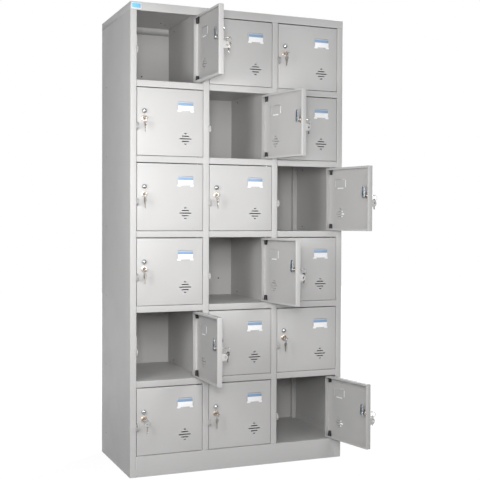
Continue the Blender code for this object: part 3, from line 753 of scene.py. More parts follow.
def tray_mesh(cabinet):
    """Top tray: a lid with its edges folded down and a return behind the header."""
    shape = bmesh.new()
    corners = [(-HALF_WIDTH, 0), (HALF_WIDTH, 0), (HALF_WIDTH, DEPTH), (-HALF_WIDTH, DEPTH)]
    upper = [shape.verts.new((x, y, HEIGHT)) for x, y in corners]
    lower = [shape.verts.new((x, y, FRAME_TOP)) for x, y in corners]
    inner = [shape.verts.new((x, cabinet.fold, FRAME_TOP)) for x, _ in corners[:2]]
    shape.faces.new(upper)
    for index in range(4):
        before = index - 1
        shape.faces.new((lower[before], lower[index], upper[index], upper[before]))
    shape.faces.new((inner[0], inner[1], lower[1], lower[0]))
    bends = [edge for edge in shape.edges if all(vert in upper for vert in edge.verts)]
    bends.append(shape.edges.get((lower[0], lower[1])))
    bent(shape, bends, cabinet)
    return thickened(from_shape(shape, finish(PAINT)), cabinet.sheet)


def bent(shape, edges, cabinet):
    """Round the edges that a sheet is folded along."""
    bmesh.ops.bevel(shape, geom=edges, offset=cabinet.bend, segments=BEND_STEPS, profile=0.5, affect="EDGES")


class LOCKER_OT_panels(bpy.types.Operator):
    """Fold the tray, sides, partitions, floor and plinth, and paint the back"""

    bl_idname = "locker.panels"
    bl_label = "Panels"

    def execute(self, context):
        cabinet = context.scene.locker_cabinet
        settle("top_tray", tray_mesh(cabinet), replaces=["top_panel"])
        self.uprights(cabinet)
        self.foot(cabinet)
        back = frame["nodes"]["back_panel"]
        back.data.materials.clear()
        back.data.materials.append(finish(PAINT))
        return {"FINISHED"}

    def uprights(self, cabinet):
        """The two sides with their laps inside the tray, and the two partitions."""
        section = upright_section(cabinet)
        top = FRAME_TOP - cabinet.fit_gap
        ends = (cabinet.lap_inset, PANEL_REAR - cabinet.lap_inset)
        lap_section = [(cabinet.sheet + cabinet.fit_gap, y) for y in ends]
        for name, edge, drawn in (("left_side", -HALF_WIDTH, list), ("right_side", HALF_WIDTH, mirrored_section)):
            lap = folded(drawn(lap_section), 2 * cabinet.lap, shift(z=FRAME_TOP - cabinet.lap))
            side = merged([folded(drawn(section), top), lap])
            settle(name, side, matrix=shift(edge), replaces=[name + "_panel"])
        foot = FLOOR + cabinet.fit_gap
        web = [(0, cabinet.fold + cabinet.fold_gap), (0, PANEL_REAR)]
        web_reach = HEIGHT - FRAME_TOP - cabinet.sheet - cabinet.fit_gap
        for name, column in (("left_partition", 2), ("right_partition", 3)):
            parts = [folded(section, top - foot, shift(z=foot)), folded(web, web_reach, shift(z=top))]
            settle(name + "_fold", merged(parts), matrix=shift(opening_left(column) - POST), replaces=[name])

    def foot(self, cabinet):
        """The floor of the bottom row and the plinth under it."""
        front_left = -HALF_WIDTH + POST + cabinet.fit_gap
        left = -HALF_WIDTH + cabinet.sheet + cabinet.floor_gap
        section = [(0, FLOOR), (SHELF_REAR, FLOOR), (SHELF_REAR, FLOOR - cabinet.floor_fold)]
        parts = [folded(section, -2 * front_left, shift(front_left) @ ACROSS)]
        under = FLOOR - cabinet.sheet
        rise = [(front_left, under), (left, under), (left, FLOOR + cabinet.floor_fold)]
        back = PANEL_REAR - cabinet.rear_depth - cabinet.floor_notch
        for wing in (rise, mirrored_section(rise)):
            parts.append(folded(wing, back - cabinet.fold - cabinet.fold_gap, shift(y=back) @ FORWARD))
        settle("floor", merged(parts), replaces=["base_panel"])
        kick = [(cabinet.kick_foot, 0), (0, 0), (0, KICK_HIGH.z), (cabinet.fold, KICK_HIGH.z)]
        front = folded(kick, KICK_HIGH.x - KICK_LOW.x, shift(KICK_LOW.x) @ ACROSS)
        settle("kick_plate", front, replaces=["plinth"])


class LOCKER_OT_shelves(bpy.types.Operator):
    """Fold the shelves with their front rails"""

    bl_idname = "locker.shelves"
    bl_label = "Shelves"

    def execute(self, context):
        cabinet = context.scene.locker_cabinet
        inner, outer = self.shelf(cabinet, False), self.shelf(cabinet, True)
        for row, column in CELLS:
            if row < ROWS:
                name = f"shelf_r{row}_c{column}"
                place = shift(opening_left(column), 0, opening_floor(row))
                settle(name + "_fold", outer if column == COLUMNS else inner, matrix=place, replaces=[name])
        return {"FINISHED"}

    def shelf(self, cabinet, last_column):
        """A shelf drawn from the opening's left edge and from its own top."""
        left = -POST + cabinet.sheet + cabinet.fit_gap
        front_left = cabinet.fit_gap
        front_right = OPENING_WIDTH - cabinet.fit_gap
        drop = -cabinet.shelf_fold
        section = [(cabinet.fold, -RAIL), (0, -RAIL), (0, 0), (SHELF_REAR, 0), (SHELF_REAR, drop)]
        middle = folded(section, front_right - front_left, shift(front_left) @ ACROSS)
        right = OPENING_WIDTH + POST - cabinet.sheet - cabinet.fit_gap
        left_edge = [(left, drop), (left, 0), (front_left, 0)]
        right_edge = [(front_right, 0), (right, 0), (right, drop)]
        if not last_column:
            right_edge = [(front_right, -cabinet.sheet), (front_right, drop)]
        rear = PANEL_REAR - cabinet.rear_depth - cabinet.fit_gap
        reach = rear - cabinet.fold - cabinet.fold_gap
        return merged([middle, *(folded(edge, reach, shift(y=rear) @ FORWARD) for edge in (left_edge, right_edge))])


def ear_mesh(doors):
    """Half round padlock ear in the door's axes, with its left face at zero and the front plane at zero."""
    root = 0.005
    hub = (doors.ear_reach - doors.ear_radius, 0)
    outline = [(-root, -doors.ear_radius), *arc(hub, doors.ear_radius, -90, 90, 16), (-root, doors.ear_radius)]
    hole = circle(doors.ear_hole, 20, (doors.ear_hole_reach, 0))
    mesh = plate([outline, hole], doors.ear_thickness, STAMPED_EDGE, finish(PAINT))
    return moved(mesh, axes((0, -1, 0), (0, 0, 1), (-1, 0, 0), (doors.ear_thickness / 2, 0, 0)))


class LOCKER_OT_frame_fittings(bpy.types.Operator):
    """Set the padlock ears, the stop tabs and the rivets on the cabinet"""

    bl_idname = "locker.frame_fittings"
    bl_label = "Frame fittings"

    def execute(self, context):
        cabinet = context.scene.locker_cabinet
        doors = context.scene.locker_doors
        lowest = FLOOR + doors.foot_gap + lock_place(doors).z
        ears = self.stack(moved(ear_mesh(doors), shift(-doors.ear_thickness - doors.ear_inset)))
        tabs = self.stack(self.tab(cabinet, doors))
        for column in range(1, COLUMNS + 1):
            left = opening_left(column)
            settle(f"post_ears_c{column}", ears, matrix=shift(left, 0, lowest - doors.ear_drop))
            settle(f"stop_tabs_c{column}", tabs, matrix=shift(left, 0, lowest - doors.tab_height / 2))
        self.inner_rivets(cabinet)
        self.back_rivets(cabinet)
        return {"FINISHED"}

    def stack(self, mesh):
        """The same fitting beside each opening of a column, from the lowest up."""
        return grown("repeat", mesh, count=ROWS, pitch=(0, 0, PITCH), material=finish(PAINT))

    def tab(self, cabinet, doors):
        """Angle behind the door's free edge that stops the door and catches the cam."""
        face = doors.thickness + cabinet.fit_gap
        return folded([(doors.tab_width, face), (0, face), (0, face - doors.tab_catch)], doors.tab_height)

    def inner_rivets(self, cabinet):
        """Heads in the compartments: the dots that the photo shows, and the same where it shows none."""
        tray = HEIGHT - cabinet.sheet
        back = DEPTH - 2 * cabinet.sheet
        # Single heads, where the photo shows a dot on the tray or on the back panel
        spots = [((x, y, tray), (0, 0, -1)) for x, y in ((-0.2057, 0.3615), (-0.2323, 0.336))]
        spots += [((x, back, z), (0, -1, 0)) for x, z in ((0.0749, 0.7357), (-0.2832, 1.6164))]
        low_depth, high_depth = 0.374, 0.373
        for row, column in CELLS:
            left = opening_left(column) - POST + cabinet.sheet
            right = opening_left(column) + OPENING_WIDTH + (POST - cabinet.sheet if column == COLUMNS else 0)
            low = opening_floor(row) + cabinet.rivet_low
            high = opening_floor(row) + OPENING_HEIGHT + cabinet.rivet_high
            # Over the opening the heads sit on the shelf's turned down edge, and in the top row on the wall
            edge = cabinet.fit_gap + cabinet.sheet if row > 1 else 0
            for depth, level, inset in ((low_depth, low, 0), (high_depth, high, edge)):
                spots.append(((right - inset, depth, level), (-1, 0, 0)))
                spots.append(((left + inset, depth, level), (1, 0, 0)))
        # The heads get the dark tint as painted shade: it stands in for the shaded compartment that their metal
        # would mirror
        self.heads("inner_rivets", spots, cabinet, "blackened_steel")

    def back_rivets(self, cabinet):
        """Heads on the back: two into each shelf, a line up each edge and one more at each side's foot."""
        across = (0.06, 0.21)
        margin, inset, count = 0.04, 0.3, 12
        columns = range(1, COLUMNS + 1)
        levels = [opening_floor(row) - cabinet.shelf_fold / 2 for row in range(1, ROWS)]
        places = [(opening_left(column) + x, level) for level in levels for column in columns for x in across]
        line = [margin + step * (FRAME_TOP - 2 * margin) / (count - 1) for step in range(count)]
        for side in (-1, 1):
            places += [(side * (HALF_WIDTH - cabinet.rear_fold / 2), level) for level in line]
            places.append((side * (HALF_WIDTH - inset), margin))
        self.heads("back_rivets", [((x, DEPTH, z), (0, 1, 0)) for x, z in places], cabinet, PAINT)

    def heads(self, name, spots, cabinet, metal):
        """Settle a head at each spot, which is a place and the way it faces."""
        mesh = points_mesh([place for place, _ in spots])
        facing = mesh.attributes.new("facing", "FLOAT_VECTOR", "POINT")
        for value, (_, direction) in zip(facing.data, spots):
            value.vector = direction
        sizes = {"radius": cabinet.rivet_radius, "head_height": cabinet.rivet_height}
        settle(name, grown("rivet_heads", mesh, material=finish(metal), **sizes))


# Doors, in their own axes
def door_height(doors):
    return OPENING_HEIGHT - doors.top_gap - doors.foot_gap


def pan_mesh(cabinet, doors):
    """Folded pan with its vent and the slits behind the card's clips."""
    height = door_height(doors)
    back = DOOR_FRONT + doors.thickness
    shape = bmesh.new()
    rings = []
    for inset, depth in ((0, DOOR_FRONT), (0, back), (doors.lip, back)):
        left, right = DOOR_FREE_EDGE + inset, DOOR_HINGE_EDGE - inset
        low, high = inset, height - inset
        corners = [(left, low), (right, low), (right, high), (left, high)]
        rings.append([shape.verts.new((x, depth, z)) for x, z in corners])
    shape.faces.new(rings[0])
    for outer, inner in zip(rings, rings[1:]):
        for index in range(4):
            before = index - 1
            shape.faces.new((outer[before], inner[before], inner[index], outer[index]))
    bmesh.ops.recalc_face_normals(shape, faces=shape.faces)
    bent(shape, [edge for edge in shape.edges if not any(vert in rings[2] for vert in edge.verts)], cabinet)
    front = min(shape.faces, key=lambda face: face.calc_center_median().y)
    front.normal_update()
    if front.normal.y > 0:
        bmesh.ops.reverse_faces(shape, faces=shape.faces)
    mesh = bpy.data.meshes.new("pan")
    shape.to_mesh(mesh)
    shape.free()
    mesh.materials.append(finish(PAINT))
    return smoothed(cut(thickened(mesh, cabinet.sheet), vent_cutter(doors), clip_slits(cabinet, doors)))


def vent_cutter(doors):
    """Cutter for the vent, half before and half behind the door's face."""
    deep = 0.006
    slots = grown(
        "vent_slots", slots=doors.vent_slots, longest=doors.vent_longest, step=doors.vent_step,
        pitch=doors.vent_pitch, height=doors.vent_height, depth=deep,
    )
    place = shift(DOOR_HINGE_EDGE - doors.vent_centre, DOOR_FRONT + deep / 2, doors.vent_level)
    return from_shape(opened(moved(slots, place @ FORWARD)))


def clip_places(doors):
    """Place, length, width and lean of the four clips. Drawn, a clip has its card above it."""
    x = DOOR_HINGE_EDGE - doors.card_centre
    low = doors.card_level + doors.clip_width / 2
    high = doors.card_level + doors.card_height - doors.clip_head + doors.clip_width / 2
    beside = doors.card_width / 2 - doors.clip_cover + doors.clip_narrow / 2
    middle = high - doors.clip_side / 2 + doors.clip_width / 4
    clips = (
        (x, low, 0, doors.clip_foot, doors.clip_width, 0),
        (x, high, 180, doors.clip_top, doors.clip_width, doors.clip_lean),
        (x - beside, middle, 90, doors.clip_side, doors.clip_narrow, 0),
        (x + beside, middle, -90, doors.clip_side, doors.clip_narrow, 0),
    )
    return [(shift(across, DOOR_FRONT, up) @ spin(turn, "Y"), *sizes) for across, up, turn, *sizes in clips]


def clip_slits(cabinet, doors):
    """Cutters for the sheet that was pressed out to make the clips."""
    shape = bmesh.new()
    for place, run, width, lean in clip_places(doors):
        low, high = -width / 2 - lean, width / 2 - lean
        block(shape, (-run / 2, -cabinet.bend, low), (run / 2, cabinet.bend, high), place)
    return from_shape(shape)


def clip_meshes(cabinet, doors):
    """Pressed clips: bridges that rise out of the sheet, a little thinned, and run over the card's edges."""
    thinned, ramp, edge = 0.75, 0.0035, 0.0002
    rise = doors.clip_rise
    meshes = []
    for place, run, width, _ in clip_places(doors):
        half = run / 2
        upper = [(-half, 0), (-half + ramp, rise), (half - ramp, rise), (half, 0)]
        lower = [(x, y - thinned * cabinet.sheet) for x, y in reversed(upper)]
        clip = plate([upper + lower], width, edge, finish(PAINT))
        meshes.append(moved(clip, place @ axes((1, 0, 0), (0, -1, 0), (0, 0, -1))))
    return meshes


def both_ends(lower, top):
    """A fitting at the door's foot, and the same one turned over at a height."""
    upper = moved(lower.copy(), shift(z=top) @ spin(180, "X"))
    return merged([lower, upper])


class LOCKER_OT_doors(bpy.types.Operator):
    """Fold the doors and fit their pivots, ears and cards"""

    bl_idname = "locker.doors"
    bl_label = "Doors"

    def execute(self, context):
        cabinet = context.scene.locker_cabinet
        doors = context.scene.locker_doors
        pan = merged([pan_mesh(cabinet, doors), *clip_meshes(cabinet, doors)])
        drop = lock_place(doors).z - doors.ear_drop
        ear = moved(ear_mesh(doors), shift(DOOR_FREE_EDGE + doors.ear_inset, DOOR_FRONT, drop))
        fittings = (
            ("ear", ear, "powder_coat"),
            ("bushes", self.bushes(doors), None),
            ("pins", self.pins(cabinet, doors), "lock_metal"),
            ("card", self.card(doors), None),
        )
        for row, column in CELLS:
            body = f"door_r{row}_c{column}"
            place = door_axes(row, column, doors)
            settle(body + "_pan", pan, body, matrix=place, replaces=[body])
            for name, mesh, slot in fittings:
                settle(f"{body}_{name}", mesh, body, place)
        return {"FINISHED"}

    def bushes(self, doors):
        """Tapered bushes in the two hinge corners, open round the pin at their tips."""
        rim, flange, play, seat = 0.0006, 0.0025, 0.0005, 0.003
        base, tip, height = doors.bush_base, doors.bush_tip, doors.bush_height
        bore = doors.pin_radius + play
        profile = [
            (0, 0), (base, 0), (base, flange), (base - rim, flange + rim), (tip + rim, height - rim), (tip, height),
            (bore, height), (bore, height - seat), (0, height - seat),
        ]
        return both_ends(turned(profile, 24, finish("black_nylon")), door_height(doors))

    def pins(self, cabinet, doors):
        """Steel pins through the bushes, with eased ends."""
        ease, sunk = 0.0006, 0.0008
        radius = doors.pin_radius
        inner = doors.bush_height - sunk
        outer = -doors.foot_gap - cabinet.sheet - doors.pin_reach
        profile = [
            (0, outer), (radius - ease, outer), (radius, outer + ease), (radius, inner - ease),
            (radius - ease, inner), (0, inner),
        ]
        pin = turned(profile, 16, finish("zinc_plated_steel"))
        return both_ends(pin, door_height(doors) + doors.top_gap - doors.foot_gap)

    def card(self, doors):
        """Blank name card under its clips, with a plain band printed on its face."""
        stock, edge, film, ease = 0.0004, 0.00005, 0.00004, 0.00001
        half, top = doors.card_width / 2, doors.card_height
        layers = (
            ("card_stock", 0, stock, edge, 0),
            ("blue_print", top - doors.card_band, film, ease, stock / 2 + film / 2 + ease),
        )
        parts = []
        for stuff, low, thick, rounding, over in layers:
            outline = [(-half, low), (half, low), (half, top), (-half, top)]
            parts.append(moved(plate([outline], thick, rounding, finish(stuff)), shift(z=over)))
        place = shift(DOOR_HINGE_EDGE - doors.card_centre, DOOR_FRONT - stock / 2 - edge, doors.card_level)
        return moved(merged(parts), place @ FORWARD)


# Locks and keys, drawn with the door's face at zero and out of the door along Z
def key_stand(locks):
    """From the door's face to the middle of the bow of the key in the lock."""
    return locks.bezel_height + locks.plug_proud + locks.neck_length + locks.bow_radius + locks.bow_stretch


def cam_face(locks):
    """From the door's face back to the front of the cam, whose washer and screw end the lock."""
    return LOCK_HIGH.y - locks.washer - locks.screw_height - locks.cam_thickness


def bow_outline(locks):
    """Oval bow about its eye, from the left side of the neck over it round to the right side."""
    start = math.degrees(math.acos(locks.neck_width / 2 / locks.bow_radius))
    left = arc((0, locks.bow_stretch), locks.bow_radius, 180 - start, 180, 6)
    round_end = arc((0, -locks.bow_stretch), locks.bow_radius, 180, 360, 24)
    return left + round_end + arc((0, locks.bow_stretch), locks.bow_radius, 0, start, 6)


def key_plate(locks, outline):
    """A key stamped out of flat metal, with the eye in its bow."""
    return plate([outline, circle(locks.eye_radius, 20)], locks.key_thickness, STAMPED_EDGE, finish("nickel_silver"))


class LOCKER_OT_locks(bpy.types.Operator):
    """Make the knobs, lock housings, plugs and cams"""

    bl_idname = "locker.locks"
    bl_label = "Knobs and locks"

    def execute(self, context):
        cabinet = context.scene.locker_cabinet
        doors = context.scene.locker_doors
        locks = context.scene.locker_locks
        on_lock = Matrix.Translation(lock_place(doors)) @ FORWARD
        on_knob = on_lock @ shift(-locks.knob_shift, locks.knob_rise)
        pieces = (
            ("door", "_knob", moved(self.knob(locks), on_knob)),
            ("door", "_lock_housing", moved(self.housing(doors, locks), on_lock)),
            ("door", "_lock_nut", moved(self.nut(cabinet, locks), on_lock)),
            ("lock", "_plug", moved(self.plug(locks), on_lock)),
            ("lock", "_cam", moved(self.cam(locks), on_lock)),
            ("lock", "_cam_screw", moved(self.screw(locks), on_lock)),
        )
        for row, column in CELLS:
            place = door_axes(row, column, doors)
            for kind, name, mesh in pieces:
                body = f"{kind}_r{row}_c{column}"
                settle(body + name, mesh, body, place, [body] if name == "_plug" else ())
        return {"FINISHED"}

    def knob(self, locks):
        """Domed pull on a waisted neck."""
        neck, radius, height = locks.knob_neck, locks.knob_radius, locks.knob_height
        sunk, foot_top, waist = 0.0004, 0.0008, 0.0018
        foot, widest = neck * 1.25, height * 0.44
        profile = [(0, -sunk), (foot, -sunk), (foot, foot_top), (neck, waist), (neck, height * 0.22)]
        # The dome flares out under its widest ring
        profile += [(radius * 0.82, height * 0.28), (radius * 0.97, height * 0.36)]
        turns = [math.radians(90 * step / 8) for step in range(8)]
        profile += [(radius * math.cos(turn), widest + (height - widest) * math.sin(turn)) for turn in turns]
        return turned([*profile, (0, height)], 32, finish("chromed_zinc"), smooth_deg=50)

    def housing(self, doors, locks):
        """Face ring and threaded barrel of the lock."""
        ease, play, depth, flange, short = 0.0007, 0.0003, 0.0004, 0.0006, 0.0008
        bore = locks.plug_radius + play
        root = locks.barrel_radius - depth
        face, rim = locks.bezel_height, locks.bezel_radius
        end = short - doors.thickness
        profile = [
            (bore, end), (root, end), (root, -flange), (rim, -flange), (rim, face - 2 * ease),
            (rim - ease, face - ease / 2), (rim - 2 * ease, face), (bore + ease / 2, face),
            (bore, face - ease / 2), (bore, end),
        ]
        metal = finish("nickel_plated_brass")
        # The thread starts a little inside the barrel's end and stops short of the door
        start, bare = 0.0005, 0.002
        run = -end - bare
        thread = grown(
            "coil", turns=run / locks.thread_pitch, steps=18, radius=root, wire=depth, rise=run, sides=4,
            material=metal,
        )
        return merged([turned(profile, 40, metal), moved(thread, shift(z=end + start))])

    def nut(self, cabinet, locks):
        """Hexagon nut behind the door's sheet, with its corners turned off."""
        ease = 0.0005
        outlines = [circle(locks.nut_radius, 6), circle(locks.barrel_radius, 24)]
        mesh = plate(outlines, locks.nut_height, ease, finish("blackened_steel"))
        return moved(mesh, shift(z=-cabinet.sheet - locks.nut_height / 2))

    def plug(self, locks):
        """Plug with its keyway, and the key left in it."""
        face = locks.bezel_height + locks.plug_proud
        radius, end = locks.plug_radius, -cam_face(locks)
        profile = [(0, end), (radius, end), (radius, face - STAMPED_EDGE), (radius - STAMPED_EDGE, face), (0, face)]
        slack, play, deep = 0.0006, 0.0004, 0.003
        keyway = Vector((locks.neck_width / 2 + slack, locks.key_thickness / 2 + play, deep))
        shape = bmesh.new()
        block(shape, -keyway, keyway, shift(z=face))
        body = cut(turned(profile, 32, finish("nickel_plated_brass")), from_shape(shape))
        sunk = 0.0028
        bow = key_stand(locks)
        half, neck_end = locks.neck_width / 2, bow - face + sunk
        key = key_plate(locks, [(half, neck_end), (-half, neck_end), *bow_outline(locks)])
        return merged([body, moved(key, axes((1, 0, 0), (0, 0, -1), (0, 1, 0), (0, 0, bow)))])

    def cam(self, locks):
        """Stamped cam with a round hub and tip, straight up."""
        ease = 0.0004
        outline = arc((0, 0), locks.cam_hub, 180, 360, 16)
        outline += arc((0, locks.cam_reach - locks.cam_tip), locks.cam_tip, 0, 180, 12)
        mesh = plate([outline], locks.cam_thickness, ease, finish("blue_passivated_zinc"))
        return moved(mesh, shift(z=-cam_face(locks) - locks.cam_thickness / 2))

    def screw(self, locks):
        """Hexagon screw and washer that hold the cam."""
        back = -cam_face(locks) - locks.cam_thickness
        rim, ease = 0.001, 0.00015
        steel = finish("zinc_plated_steel")
        head = plate([circle(locks.cam_screw, 6)], locks.screw_height, STAMPED_EDGE, steel)
        washer = plate([circle(locks.cam_screw + rim, 28)], locks.washer, ease, steel)
        head = moved(head, shift(z=back - locks.washer - locks.screw_height / 2))
        return merged([moved(washer, shift(z=back - locks.washer / 2)), head])


class LOCKER_OT_keys(bpy.types.Operator):
    """Hang the spare keys on their split rings"""

    bl_idname = "locker.keys"
    bl_label = "Spare keys"

    def execute(self, context):
        doors = context.scene.locker_doors
        locks = context.scene.locker_locks
        eye = Matrix.Translation(lock_place(doors)) @ shift(y=-key_stand(locks)) @ FORWARD
        ring = self.ring(locks)
        spare = self.spare(locks)
        for row, column in CELLS:
            door = f"door_r{row}_c{column}"
            place = door_axes(row, column, doors) @ eye
            turn, twist = self.hang(row, column, locks)
            along = Vector((-math.sin(turn), 0, math.cos(turn)))
            middle = along * locks.ring_reach + Vector((0, -locks.ring_drop, 0))
            ring_place = axes(along, (0, 1, 0), along.cross(Vector((0, 1, 0))), middle)
            settle(door + "_key_ring", ring, door, place @ ring_place)
            hung = shift(y=locks.ring_wire - locks.ring_radius - locks.eye_radius)
            spare_place = Matrix.Translation(middle) @ hung @ Matrix.Rotation(-twist, 4, "Y")
            settle(door + "_spare_key", spare, door, place @ spare_place)
        return {"FINISHED"}

    def hang(self, row, column, locks):
        """Turn of a ring and of its spare key, which differ from door to door."""
        count = (row - 1) * COLUMNS + column
        ring_step, spare_step = 2.4, 1.7
        turn = locks.ring_turn + locks.ring_swing * math.sin(ring_step * count)
        twist = locks.spare_turn + locks.spare_swing * math.sin(spare_step * count)
        # The key at the bottom left hangs on the other side of its lock
        return (-turn, twist) if (row, column) == (ROWS, 1) else (turn, twist)

    def ring(self, locks):
        """Split ring of nearly two turns about its middle."""
        wire = locks.ring_wire
        rise = 2.2 * wire
        coil = grown(
            "coil", turns=1.9, steps=40, radius=locks.ring_radius, wire=wire, rise=rise, sides=8,
            material=finish("zinc_plated_steel"),
        )
        return moved(coil, shift(z=-rise / 2))

    def spare(self, locks):
        """Flat key about its eye, with a stepped blade pointing down. Its blade is narrower than its neck."""
        half = locks.neck_width / 2
        edge, point, slope = half * 0.85, half * 0.3, 0.003
        shoulder = -locks.bow_radius - locks.bow_stretch - locks.shoulder
        tip = shoulder - locks.blade_length
        level = tip + slope
        outline = [(x, -y) for x, y in reversed(bow_outline(locks))]
        outline += [(-half, shoulder), (-edge, shoulder), (-edge, level), (-point, tip), (point, tip), (edge, level)]
        cuts = (0.0010, 0.0020, 0.0006, 0.0016)
        uncut = 0.005
        pitch = (locks.blade_length - uncut) / len(cuts)
        for depth in cuts:
            bottom = [(edge - depth, level + pitch * share) for share in (0.35, 0.65)]
            outline += [*bottom, (edge, level + pitch)]
            level += pitch
        return key_plate(locks, [*outline, (edge, shoulder), (half, shoulder)])


class LOCKER_OT_badge(bpy.types.Operator):
    """Put the blank badge on the header"""

    bl_idname = "locker.badge"
    bl_label = "Badge"

    def execute(self, context):
        width, thickness, height = BADGE_HIGH - BADGE_LOW
        corner, face_corner = 0.0015, 0.001
        rim, film = 0.0035, 0.0001
        base = plate([self.outline(width, height, corner)], thickness, film, finish("card_stock"))
        face = plate([self.outline(width - rim, height - rim, face_corner)], film, film / 5, finish("badge_film"))
        badge = merged([base, moved(face, shift(z=thickness / 2))])
        place = Matrix.Translation((BADGE_LOW + BADGE_HIGH) / 2) @ FORWARD
        settle("badge", badge, matrix=place, replaces=["badge_plate"])
        return {"FINISHED"}

    def outline(self, width, height, corner):
        """Rectangle with round corners about the origin."""
        points = []
        x, y = width / 2 - corner, height / 2 - corner
        for centre, start in (((x, y), 0), ((-x, y), 90), ((-x, -y), 180), ((x, -y), 270)):
            points += arc(centre, corner, start, start + 90, 4)
        return points


# Stage
def looked_at(tree):
    """One where the camera, a mirror or clear glass looks, and nought for the light that falls on things."""
    rays = add(tree, "ShaderNodeLightPath").outputs
    sharp = calc(tree, "ADD", rays["Is Glossy Ray"], rays["Is Transmission Ray"])
    return calc(tree, "ADD", rays["Is Camera Ray"], sharp, use_clamp=True)


def sheet_mesh(corners, material):
    """One flat face over four corners."""
    mesh = points_mesh(corners, faces=[(0, 1, 2, 3)])
    mesh.materials.append(material)
    return mesh


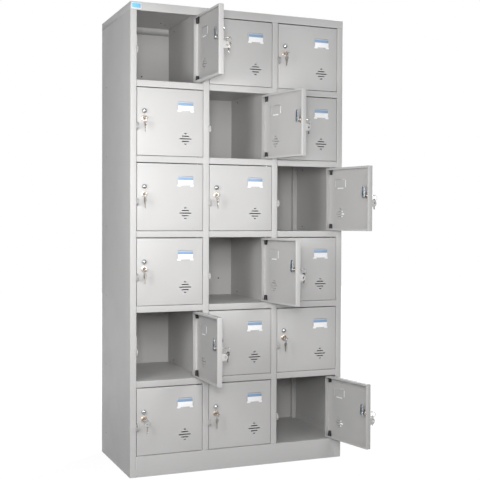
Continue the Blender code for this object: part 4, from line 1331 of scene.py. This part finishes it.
class LOCKER_OT_stage(bpy.types.Operator):
    """Lay the floor, hang the lamps and place the camera"""

    bl_idname = "locker.stage"
    bl_label = "Stage"

    def execute(self, context):
        stage = context.scene.locker_stage
        self.floor(stage)
        self.world(context.scene, stage)
        self.lamp("front_lamp", (-1.40, -3.43, 1.3), (-0.2, 0, 1.0), 0.5, stage.front_power)
        self.lamp("middle_lamp", (-0.6, -3.6, 2.0), (-0.1, 0, 1.0), 0.6, stage.middle_power)
        self.lamp("near_lamp", (-0.46, -1.15, 1.2), (-0.3, 0, 1.1), 0.4, stage.near_power)
        self.lamp("side_lamp", (-1.25, -0.9, 1.25), (-0.457, 0.1, 1.2), 0.4, stage.side_power)
        self.lamp("left_lamp", (-2.4, -1.6, 1.2), (-0.2, 0, 1.1), 0.6, stage.left_power)
        self.lamp("right_lamp", (0.9, -2.0, 1.2), (0.2, 0, 1.1), 0.6, stage.right_power)
        # The photo doesn't show what this one lights: the back, the right side and the top
        self.lamp("rear_lamp", (2.2, 2.3, 3.4), (0, 0.25, 1.1), 0.8, stage.rear_power)
        flag = [(1.2, -2.6, 0.0), (2.6, -0.4, 0.0), (2.6, -0.4, 2.4), (1.2, -2.6, 2.4)]
        self.cloth("dark_flag", "black_felt", flag, "101010")
        cloth = [(-3.0, -4.0, 0.01), (2.5, -4.0, 0.01), (2.5, -0.35, 0.01), (-3.0, -0.35, 0.01)]
        self.cloth("floor_cloth", "brown_felt", cloth, "B4A698")
        self.camera(context.scene, stage)
        context.scene.view_settings.view_transform = "Standard"
        return {"FINISHED"}

    def floor(self, stage):
        """Pale floor that reads as white to the camera and keeps a soft shadow."""
        half = stage.floor_half
        corners = [(-half, -half, 0), (half, -half, 0), (half, half, 0), (-half, half, 0)]
        material = bpy.data.materials.new("painted_studio_floor")
        material.use_nodes = True
        tree = material.node_tree
        tree.nodes.remove(tree.nodes["Principled BSDF"])
        matt = add(tree, "ShaderNodeBsdfDiffuse", {"Color": (*stage.floor_paint, 1)})
        white = add(tree, "ShaderNodeEmission", {"Strength": stage.floor_white})
        place = add(tree, "ShaderNodeTexCoord").outputs["Object"]
        away = add(tree, "ShaderNodeVectorMath", {0: place}, operation="LENGTH").outputs["Value"]
        ends = {
            "Value": away, "From Min": stage.shadow_near, "From Max": stage.shadow_far,
            "To Min": 1 - stage.floor_shadow, "To Max": 1.0,
        }
        fade = add(tree, "ShaderNodeMapRange", ends, interpolation_type="SMOOTHSTEP")
        share = calc(tree, "MULTIPLY", looked_at(tree), fade)
        mixed = add(tree, "ShaderNodeMixShader", {0: share, 1: matt, 2: white})
        feed(tree, tree.nodes["Material Output"], {"Surface": mixed})
        linked("studio_floor", sheet_mesh(corners, material))

    def world(self, scene, stage):
        """Even light all round, and a white background."""
        world = bpy.data.worlds.new("studio")
        world.use_nodes = True
        scene.world = world
        tree = world.node_tree
        light = tree.nodes["Background"]
        feed(tree, light, {"Color": (*stage.ambient_tint, 1), "Strength": stage.ambient})
        white = add(tree, "ShaderNodeBackground", {"Color": (1, 1, 1, 1), "Strength": 1.0})
        mixed = add(tree, "ShaderNodeMixShader", {0: looked_at(tree), 1: light, 2: white})
        feed(tree, tree.nodes["World Output"], {"Surface": mixed})

    def lamp(self, name, place, target, size, power):
        """A square soft box that faces a target."""
        data = bpy.data.lights.new(name, "AREA")
        data.size = size
        data.energy = power
        lamp = linked(name, data)
        aim = Vector(target) - Vector(place)
        lamp.matrix_world = Matrix.Translation(place) @ aim.to_track_quat("-Z", "Y").to_matrix().to_4x4()
        lamp.visible_camera = False

    def cloth(self, name, stuff, corners, code):
        """Cloth that only reflections show, so that polished metal has dark edges as in a real room."""
        material = bpy.data.materials.new(stuff)
        material.use_nodes = True
        tree = material.node_tree
        feed(tree, tree.nodes["Principled BSDF"], {"Base Color": (*linear(code), 1), "Roughness": 0.9})
        cloth = linked(name, sheet_mesh(corners, material))
        cloth.visible_camera = False
        cloth.visible_diffuse = False
        cloth.visible_shadow = False

    def camera(self, scene, stage):
        data = bpy.data.cameras.new("photo_camera")
        data.sensor_width = 36
        data.lens = stage.camera_lens
        data.clip_end = 50
        camera = linked("photo_camera", data)
        yaw = Matrix.Rotation(-stage.camera_yaw, 4, "Z")
        pitch = Matrix.Rotation(math.pi / 2 - stage.camera_pitch, 4, "X")
        roll = Matrix.Rotation(-stage.camera_roll, 4, "Z")
        camera.matrix_world = Matrix.Translation(stage.camera_place) @ yaw @ pitch @ roll
        scene.camera = camera


class LOCKER_PT_panel(bpy.types.Panel):
    """Steps that build the locker"""

    bl_idname = "LOCKER_PT_panel"
    bl_label = "Cube Locker"
    bl_space_type = "VIEW_3D"
    bl_region_type = "UI"
    bl_category = "Locker"

    def draw(self, context):
        column = self.layout.column()
        for step in STEPS:
            column.operator(step.bl_idname)
        for group in SETTINGS:
            box = self.layout.box()
            box.label(text=group.removeprefix("locker_").capitalize())
            settings = getattr(context.scene, group)
            for name in settings.bl_rna.properties.keys()[2:]:
                box.prop(settings, name)


SETTINGS = {
    "locker_cabinet": CabinetSettings,
    "locker_doors": DoorSettings,
    "locker_locks": LockSettings,
    "locker_stage": StageSettings,
}
STEPS = (
    LOCKER_OT_finishes,
    LOCKER_OT_panels,
    LOCKER_OT_shelves,
    LOCKER_OT_frame_fittings,
    LOCKER_OT_doors,
    LOCKER_OT_locks,
    LOCKER_OT_keys,
    LOCKER_OT_badge,
    LOCKER_OT_stage,
)


def register():
    for group in (*SETTINGS.values(), *STEPS, LOCKER_PT_panel):
        bpy.utils.register_class(group)
    for name, group in SETTINGS.items():
        setattr(bpy.types.Scene, name, PointerProperty(type=group))


def unregister():
    for name in SETTINGS:
        delattr(bpy.types.Scene, name)
    for group in reversed((*SETTINGS.values(), *STEPS, LOCKER_PT_panel)):
        bpy.utils.unregister_class(group)


def main():
    """Build every piece in order."""
    register()
    bpy.ops.locker.finishes()
    bpy.ops.locker.panels()
    bpy.ops.locker.shelves()
    bpy.ops.locker.frame_fittings()
    bpy.ops.locker.doors()
    bpy.ops.locker.locks()
    bpy.ops.locker.keys()
    bpy.ops.locker.badge()
    bpy.ops.locker.stage()


if __name__ == "__main__":
    main()
